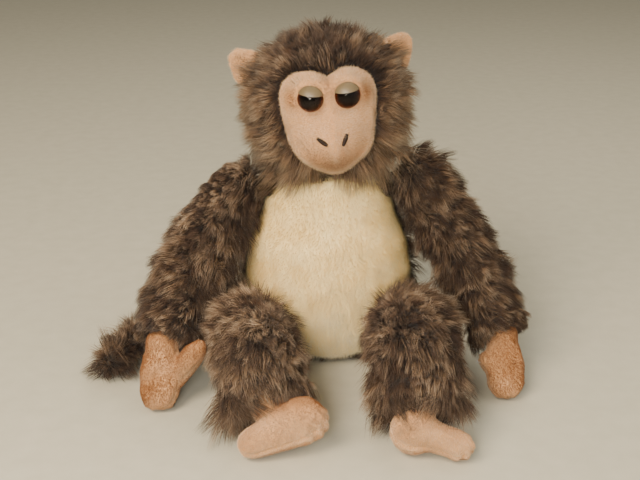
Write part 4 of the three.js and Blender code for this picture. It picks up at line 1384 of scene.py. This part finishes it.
def iris_paint():
    """Paint that changes with distance from the disc's middle, which the disc keeps as an attribute."""
    material = new_material("painted_disc_red_brown")
    place = add_node(material, "ShaderNodeAttribute", attribute_name="tone")
    colour = add_node(material, "ShaderNodeValToRGB", links={"Fac": place.outputs["Fac"]})
    set_ramp(colour, (
        (0.0, "#050404"), (PUPIL_SHARE, "#080504"), (PUPIL_SHARE + 0.1, "#210b05"),
        (0.88, "#3f180b"), (1.0, "#170904"),
    ))
    shader = add_node(
        material, "ShaderNodeBsdfPrincipled", {"Roughness": 0.5, "Specular IOR Level": 0.0},
        {"Base Color": colour.outputs["Color"]},
    )
    add_node(material, "ShaderNodeOutputMaterial", links={"Surface": shader.outputs["BSDF"]})
    return material


# Polished clear acrylic: the paint shows through it undimmed.
clear_plastic = plastic("clear_acrylic", "#fdfcfa", 0.03, DOME_INDEX, transmission=1.0)
# Moulded plastic with a satin surface: wide, soft highlights. The lids are olive, the hidden washers
# white.
olive_plastic = plastic("moulded_plastic_olive", "#6b5d42", 0.5)
white_plastic = plastic("moulded_plastic_white", "#ecebe4", 0.45)
# Paint under the dome has no surface of its own to shine: a black pupil in a dark red-brown ring.
iris = iris_paint()
print("eye finishes:", clear_plastic.name, olive_plastic.name, white_plastic.name, iris.name)

# %% Eyes
DISC_RADIUS = 7.3 * MM
DISC_THICKNESS = 1.6 * MM
DISC_RINGS = 40
DISC_INNERMOST = 0.04
DOME_STEPS = 24
DOME_LAST_TURN = 0.03
LID_TILT = {"left": math.radians(3), "right": math.radians(-10)}


def store_tone(mesh, values):
    """Keeps one number for each corner, for a material to read."""
    layer = mesh.attributes.new("tone", "FLOAT", "POINT")
    layer.data.foreach_set("value", np.ascontiguousarray(values, dtype=np.float32))


for side in SIDES:
    base, axis = eyes[side]
    disc_rings = np.linspace(DISC_INNERMOST, 1, DISC_RINGS) * DISC_RADIUS
    disc_profile = [(DISC_RADIUS, 0.0)] + [(r, DISC_THICKNESS) for r in disc_rings[::-1]]
    disc = lathe(f"eye_paint_{side}", disc_profile, base, axis)
    offsets = places_of(disc.data) - np.array(base)
    offsets -= (offsets @ np.array(axis))[:, None] * np.array(axis)
    store_tone(disc.data, np.linalg.norm(offsets, axis=1) / DISC_RADIUS)
    dress(disc, "head", "brown_plastic", iris, f"eye_disc_{side}")
    widest = math.acos((DOME_BASE - dome_centre) / dome_sphere)
    steps = np.linspace(widest, DOME_LAST_TURN, DOME_STEPS)
    dome_profile = [(dome_sphere * math.sin(s), dome_centre + dome_sphere * math.cos(s)) for s in steps]
    dome = lathe(f"eye_glass_{side}", dome_profile, base, axis)
    dress(dome, "head", "clear_plastic", clear_plastic, f"eye_dome_{side}")
    lid = lid_shell(f"eye_cover_{side}", base, axis, LID_TILT[side])
    dress(lid, "head", "olive_plastic", olive_plastic, f"eyelid_{side}")
    washer = nodes[f"eye_washer_{side}"]
    washer.data.materials.clear()
    washer.data.materials.append(white_plastic)
    print("eye", side, "sits at", [round(v / MM, 1) for v in base], "mm")

# %% [markdown]
# A nostril is satin stitch: short threads side by side, each pulled into the velour at both ends. A dark
# patch on the velour would do from afar, but threads give it a raised edge.

# %% Nostrils
THREAD_RADIUS = 0.34 * MM
THREAD_PITCH = 0.5 * MM
THREAD_SIDES = 8
THREAD_STEPS = 7
THREAD_RISE = 1.1 * MM
THREAD_DIP = 1.6 * MM
# A thread's own twist is too fine to show, so its tone drifts over 0.4 mm.
THREAD_GRAIN = 0.4 * MM
# No stitch runs this way, so it gives each one a direction across it.
ODD_THREAD_WAY = (0.2, 0.3, 0.93)
NOSTRIL_LENGTH = 6.2 * MM
NOSTRIL_WIDTH = 2.4 * MM
NOSTRIL_SLANT = {"left": math.radians(62), "right": math.radians(-36)}
face_surface = tree_of(face_skin.data)


def tubes(name, paths, radius):
    """One mesh of round threads along paths, with shut ends."""
    points, quads, triangles = [], [], []
    turns = 2 * math.pi * np.arange(THREAD_SIDES) / THREAD_SIDES
    for path in paths:
        start = len(points)
        along = unit(np.gradient(path, axis=0))
        sideways = unit(np.cross(along, ODD_THREAD_WAY))
        other = np.cross(along, sideways)
        for p, s, o in zip(path, sideways, other):
            points += [p + radius * (s * math.cos(t) + o * math.sin(t)) for t in turns]
        for ring in range(len(path) - 1):
            low = start + ring * THREAD_SIDES
            for c in range(THREAD_SIDES):
                d = (c + 1) % THREAD_SIDES
                quads.append((low + c, low + d, low + THREAD_SIDES + d, low + THREAD_SIDES + c))
        for ring, ends in ((0, path[0]), (len(path) - 1, path[-1])):
            low = start + ring * THREAD_SIDES
            points.append(ends)
            for c in range(THREAD_SIDES):
                d = (c + 1) % THREAD_SIDES
                pair = (low + d, low + c) if ring == 0 else (low + c, low + d)
                triangles.append((*pair, len(points) - 1))
    return add_object(name, mesh_of(name, np.array(points), np.array(quads), np.array(triangles)))


# Embroidery thread, dark brown: drawn matt, so that the nostrils read as two dark marks.
thread = new_material("embroidery_thread_dark_brown")
thread_place = add_node(thread, "ShaderNodeTexCoord").outputs["Object"]
thread_grain = add_node(thread, "ShaderNodeTexNoise", {"Scale": 1 / THREAD_GRAIN}, {"Vector": thread_place})
thread_colour = add_node(thread, "ShaderNodeValToRGB", links={"Fac": thread_grain.outputs["Fac"]})
set_ramp(thread_colour, ((0.3, "#1a0e08"), (0.7, "#2f1e14")))
thread_shader = add_node(
    thread, "ShaderNodeBsdfPrincipled",
    {"Roughness": 0.6, "IOR": FIBRE_IOR, "Specular IOR Level": FIBRE_SHINE},
    {"Base Color": thread_colour.outputs["Color"]},
)
add_node(thread, "ShaderNodeOutputMaterial", links={"Surface": thread_shader.outputs["BSDF"]})

for side in SIDES:
    centre = in_head([middle_of(f"nostril_stitch_{side}")])[0]
    slant = NOSTRIL_SLANT[side]
    long_way = np.array((math.cos(slant), 0, math.sin(slant)))
    short_way = np.array((-long_way[2], 0, long_way[0]))
    paths = []
    for shift in np.arange(-NOSTRIL_LENGTH / 2, NOSTRIL_LENGTH / 2, THREAD_PITCH):
        half = NOSTRIL_WIDTH / 2 * math.sqrt(1 - (shift / (NOSTRIL_LENGTH / 2 + THREAD_PITCH)) ** 2)
        path = []
        for step in np.linspace(-1, 1, THREAD_STEPS):
            spot = centre + long_way * shift + short_way * half * step
            start = Vector(from_head([(spot[0], -1.0, spot[2])])[0])
            hit = face_surface.ray_cast(start, head_back)[0]
            path.append(np.array(hit) - np.array(head_back) * (THREAD_RISE - THREAD_DIP * step ** 4))
        paths.append(np.array(path))
    stitches = tubes(f"nostril_thread_{side}", paths, THREAD_RADIUS)
    dress(stitches, "head", "dark_thread", thread, f"nostril_stitch_{side}")
    print(stitches.name, len(paths), "threads")

# %% [markdown]
# Hands and feet are velour mitts, each sewn from two halves and stuffed. They could be smoothed like the
# limbs, but no fur hides them, so a cloth simulation blows the CAD form up a little, until it is taut.
# The thumbs and the right foot are then brought nearer to the photograph's than the CAD's are, and hands
# are cut blunter at the fingers. Last, the seam round the edge is drawn in as a groove, with puckers near
# the tip.

# %% Stuffing a mitt
CLOTH_FRAMES = 20
THUMB_ROOT = 8 * MM
THUMB_LEAST = 0.1
THUMB_FULL = (0, 0.3)
FOOT_STRETCH = {"left": 1.0, "right": 1.1}


def blown_up(piece, pressure, most):
    """A closed skin swollen by a cloth simulation, with no corner further than a limit from its start."""
    before = places_of(piece.data)
    cloth = piece.modifiers.new("cloth", "CLOTH")
    cloth.settings.use_pressure = True
    cloth.settings.uniform_pressure_force = pressure
    cloth.settings.effector_weights.gravity = 0
    for step in range(1, CLOTH_FRAMES + 1):
        bpy.context.scene.frame_set(step)
    graph = bpy.context.evaluated_depsgraph_get()
    moved = places_of(piece.evaluated_get(graph).data) - before
    piece.modifiers.clear()
    bpy.context.scene.frame_set(1)
    far = np.linalg.norm(moved, axis=1, keepdims=True)
    put_places(piece.data, before + moved * np.minimum(1, most / np.maximum(far, 1e-9)))


def subdivided(piece):
    """The piece with each face cut in four and rounded."""
    piece.modifiers.new("finer", "SUBSURF").levels = 1
    return settled(piece)


def flat_way(places):
    """The direction in which a form is thinnest."""
    return np.linalg.svd(places - places.mean(0), full_matrices=False)[2][2]


def thumb_bent(piece, body, rise, reach, fatter):
    """Lifts a hand's thumb, which points towards the body, and makes it longer or shorter, and fatter."""
    places = places_of(piece.data)
    wrist = joint_place(body)
    inwards = -math.copysign(1, wrist[0])
    out = (places[:, 0] - wrist[0]) * inwards
    share = smooth_step(THUMB_ROOT, out.max(), out)
    on_thumb = share > THUMB_LEAST
    slope, height = np.polyfit(out[on_thumb], places[on_thumb, 2], 1)
    off_middle = places[:, 2] - slope * out - height
    places[:, 2] += rise * share + fatter * smooth_step(*THUMB_FULL, share) * off_middle
    places[:, 0] += reach * share * inwards
    put_places(piece.data, places)


def blunted(piece, body):
    """Widens a hand towards its finger ends, as a sewn mitt is cut nearly square there."""
    places = places_of(piece.data)
    wrist = joint_place(body)
    tip = places[np.argmin(places[:, 2] + places[:, 1])]
    way = (tip - wrist) / np.linalg.norm(tip - wrist)
    along = (places - wrist) @ way / np.linalg.norm(tip - wrist)
    past = np.clip(2 * along - 1, 0, 1)
    places[:, 0] = wrist[0] + (places[:, 0] - wrist[0]) * np.sqrt(1 + past ** 2)
    put_places(piece.data, places)


def foot_stretched(piece, side):
    """Stretches a foot across, from its outer end."""
    places = places_of(piece.data)
    outer = places[:, 0].min() if side == "right" else places[:, 0].max()
    places[:, 0] = outer + (places[:, 0] - outer) * FOOT_STRETCH[side]
    put_places(piece.data, places)


print("cloth simulation:", f"{CLOTH_FRAMES} frames")

# %% Sewing a mitt
SEAM_DEPTH = 0.9 * MM
SEAM_WIDTH = 1.1 * MM
SEAM_FACING = (0.3, 0.8)
PUCKER_PITCH = 5.0 * MM
PUCKER_REACH = 12 * MM
PUCKER_FLAT = 0.3
RUB_PATCH = 16 * MM
RUB_DRIFT = 0.4
# Paler along a mitt's seam, where the velour turns at the edge: painted sheen.
SEAM_SHEEN = 0.3
SEAM_SHEEN_WIDTH = 2.5 * SEAM_WIDTH
UPPER_HEIGHTS = (2 * MM, 16 * MM)


def sewn(piece, thin, tip, depth):
    """Draws a seam round a mitt's edge, and puckers that run out from it near the tip."""
    places = places_of(piece.data)
    normals = normals_of(piece.data)
    aside = (places - places.mean(0)) @ thin
    edge = 1 - smooth_step(*SEAM_FACING, np.abs(normals @ thin))
    groove = SEAM_DEPTH * edge * np.exp(-(aside / SEAM_WIDTH) ** 2)
    from_tip = np.linalg.norm(places - tip, axis=1)
    near_tip = 1 - smooth_step(0, PUCKER_REACH, from_tip - PUCKER_REACH / 2)
    across = np.cross(thin, tip - places.mean(0))
    waves = np.sin(places @ across / np.linalg.norm(across) * 2 * math.pi / PUCKER_PITCH)
    pucker = depth * near_tip * waves * (PUCKER_FLAT + (1 - PUCKER_FLAT) * edge)
    put_places(piece.data, places - normals * (groove + pucker)[:, None])


def mitt_tint(base, thin, middle, upper, seed):
    """Velour rubbed paler in soft patches, with painted sheen along the seam, and deeper on its upper side."""

    def tint(places):
        patches = soft_noise(places, RUB_PATCH, np.random.default_rng(seed)) - 0.5
        seam = np.exp(-((places - middle) @ thin / SEAM_SHEEN_WIDTH) ** 2)
        above = smooth_step(*UPPER_HEIGHTS, (places - middle)[:, 2])
        # Painted sheen along the seam.
        return base + RUB_DRIFT * patches + SEAM_SHEEN * seam - upper * above

    return tint


print("seam groove:", round(SEAM_DEPTH / MM, 1), "mm deep")

# %% Hands and feet
MITT_VOXEL = 2.2 * MM
MITT_ROUNDS = 4
MITT_PRESSURE = 4.0
MITT_SWELL = 2.0 * MM
MITT_SHRINK = 1.2 * MM
MITT_TONE_SEED = 70
PUCKER_DEPTH = {"hand": 0.2 * MM, "foot": 0.7 * MM}
THUMB_RISE = {"left": 2 * MM, "right": 15 * MM}
THUMB_LONGER = {"left": -7 * MM, "right": 5 * MM}
THUMB_FATTER = {"left": 0.0, "right": 0.8}
HAND_TONE = 0.06
FOOT_TONE = 0.62
UPPER_TONE = {"hand": 0.0, "foot": 0.6}

for number, side in enumerate(SIDES):
    for end, limb, base in (("hand", "arm", HAND_TONE), ("foot", "leg", FOOT_TONE)):
        body = f"{end}_{side}"
        filling = f"{end}_filling_{side}"
        mitt = stuffed_form(f"{end}_skin_{side}", (body, filling), MITT_VOXEL, MITT_ROUNDS)
        draw_in(mitt, MITT_SHRINK)
        blown_up(mitt, MITT_PRESSURE, MITT_SWELL)
        if end == "hand":
            thumb_bent(mitt, body, THUMB_RISE[side], THUMB_LONGER[side], THUMB_FATTER[side])
            blunted(mitt, body)
        else:
            foot_stretched(mitt, side)
        subdivided(mitt)
        places = places_of(mitt.data)
        thin, middle = flat_way(places), places.mean(0)
        tip = places[np.argmax(np.linalg.norm(places - joint_place(body), axis=1))]
        sewn(mitt, thin, tip, PUCKER_DEPTH[end])
        comb = along_limb(f"{limb}_{side}", body, 0.0)
        tint = mitt_tint(base, thin, middle, UPPER_TONE[end], MITT_TONE_SEED + number)
        coat = pile(f"{end}_nap_{side}", mitt, comb, NAP, 41, tint=tint)
        dress(mitt, body, "peach_velour", velour_cloth, body)
        dress(coat, body, "peach_velour", peach_nap)

# %% [markdown]
# Inside each skin is fibrefill: lumpy white polyester. Loose fibres could be grown, but it is shut in, so
# a lumpy form a little inside the skin is enough.

# %% Filling
FILLING_VOXEL = 3.5 * MM
FILLING_DEPTH = 5.0 * MM
LUMP = 2.0 * MM
LUMP_WIDTH = 14 * MM
# Crimped fibres are too fine to show, so the wool's curls are drawn a few millimetres wide.
FILL_CURL = 10 / 3 * MM
FILL_RELIEF = 1.0 * MM

# Polyester wool: white and matt, with soft hollows between its curls, painted a little darker as shade.
fibrefill = new_material("polyester_fibrefill")
fill_place = add_node(fibrefill, "ShaderNodeTexCoord").outputs["Object"]
fill_noise = add_node(
    fibrefill, "ShaderNodeTexNoise", {"Scale": 1 / FILL_CURL, "Detail": 6.0}, {"Vector": fill_place}
)
# Painted shade: the noise that lowers the bump also darkens the colour.
fill_colour = add_node(fibrefill, "ShaderNodeValToRGB", links={"Fac": fill_noise.outputs["Fac"]})
set_ramp(fill_colour, ((0.3, "#e2e0da"), (0.7, "#f7f6f2")))
fill_bump = add_node(
    fibrefill, "ShaderNodeBump", {"Strength": 0.6, "Distance": FILL_RELIEF},
    {"Height": fill_noise.outputs["Fac"]},
)
fill_shader = add_node(
    fibrefill, "ShaderNodeBsdfPrincipled", {"Roughness": 0.9, "IOR": FIBRE_IOR, "Sheen Weight": 0.3},
    {"Base Color": fill_colour.outputs["Color"], "Normal": fill_bump.outputs["Normal"]},
)
add_node(fibrefill, "ShaderNodeOutputMaterial", links={"Surface": fill_shader.outputs["BSDF"]})

random = np.random.default_rng(50)
for body, members in frame["record"]["behaviour"]["bodies"].items():
    for name in members:
        if "filling" in name:
            stuffing = stuffed_form(f"{name}_fibre", (name,), FILLING_VOXEL, FUR_ROUNDS)
            draw_in(stuffing, FILLING_DEPTH)
            places = places_of(stuffing.data)
            lumps = LUMP * soft_noise(places, LUMP_WIDTH, random)[:, None]
            put_places(stuffing.data, places - normals_of(stuffing.data) * lumps)
            dress(stuffing, body, "fibrefill", fibrefill, name)
            print(stuffing.name, len(stuffing.data.polygons), "faces")
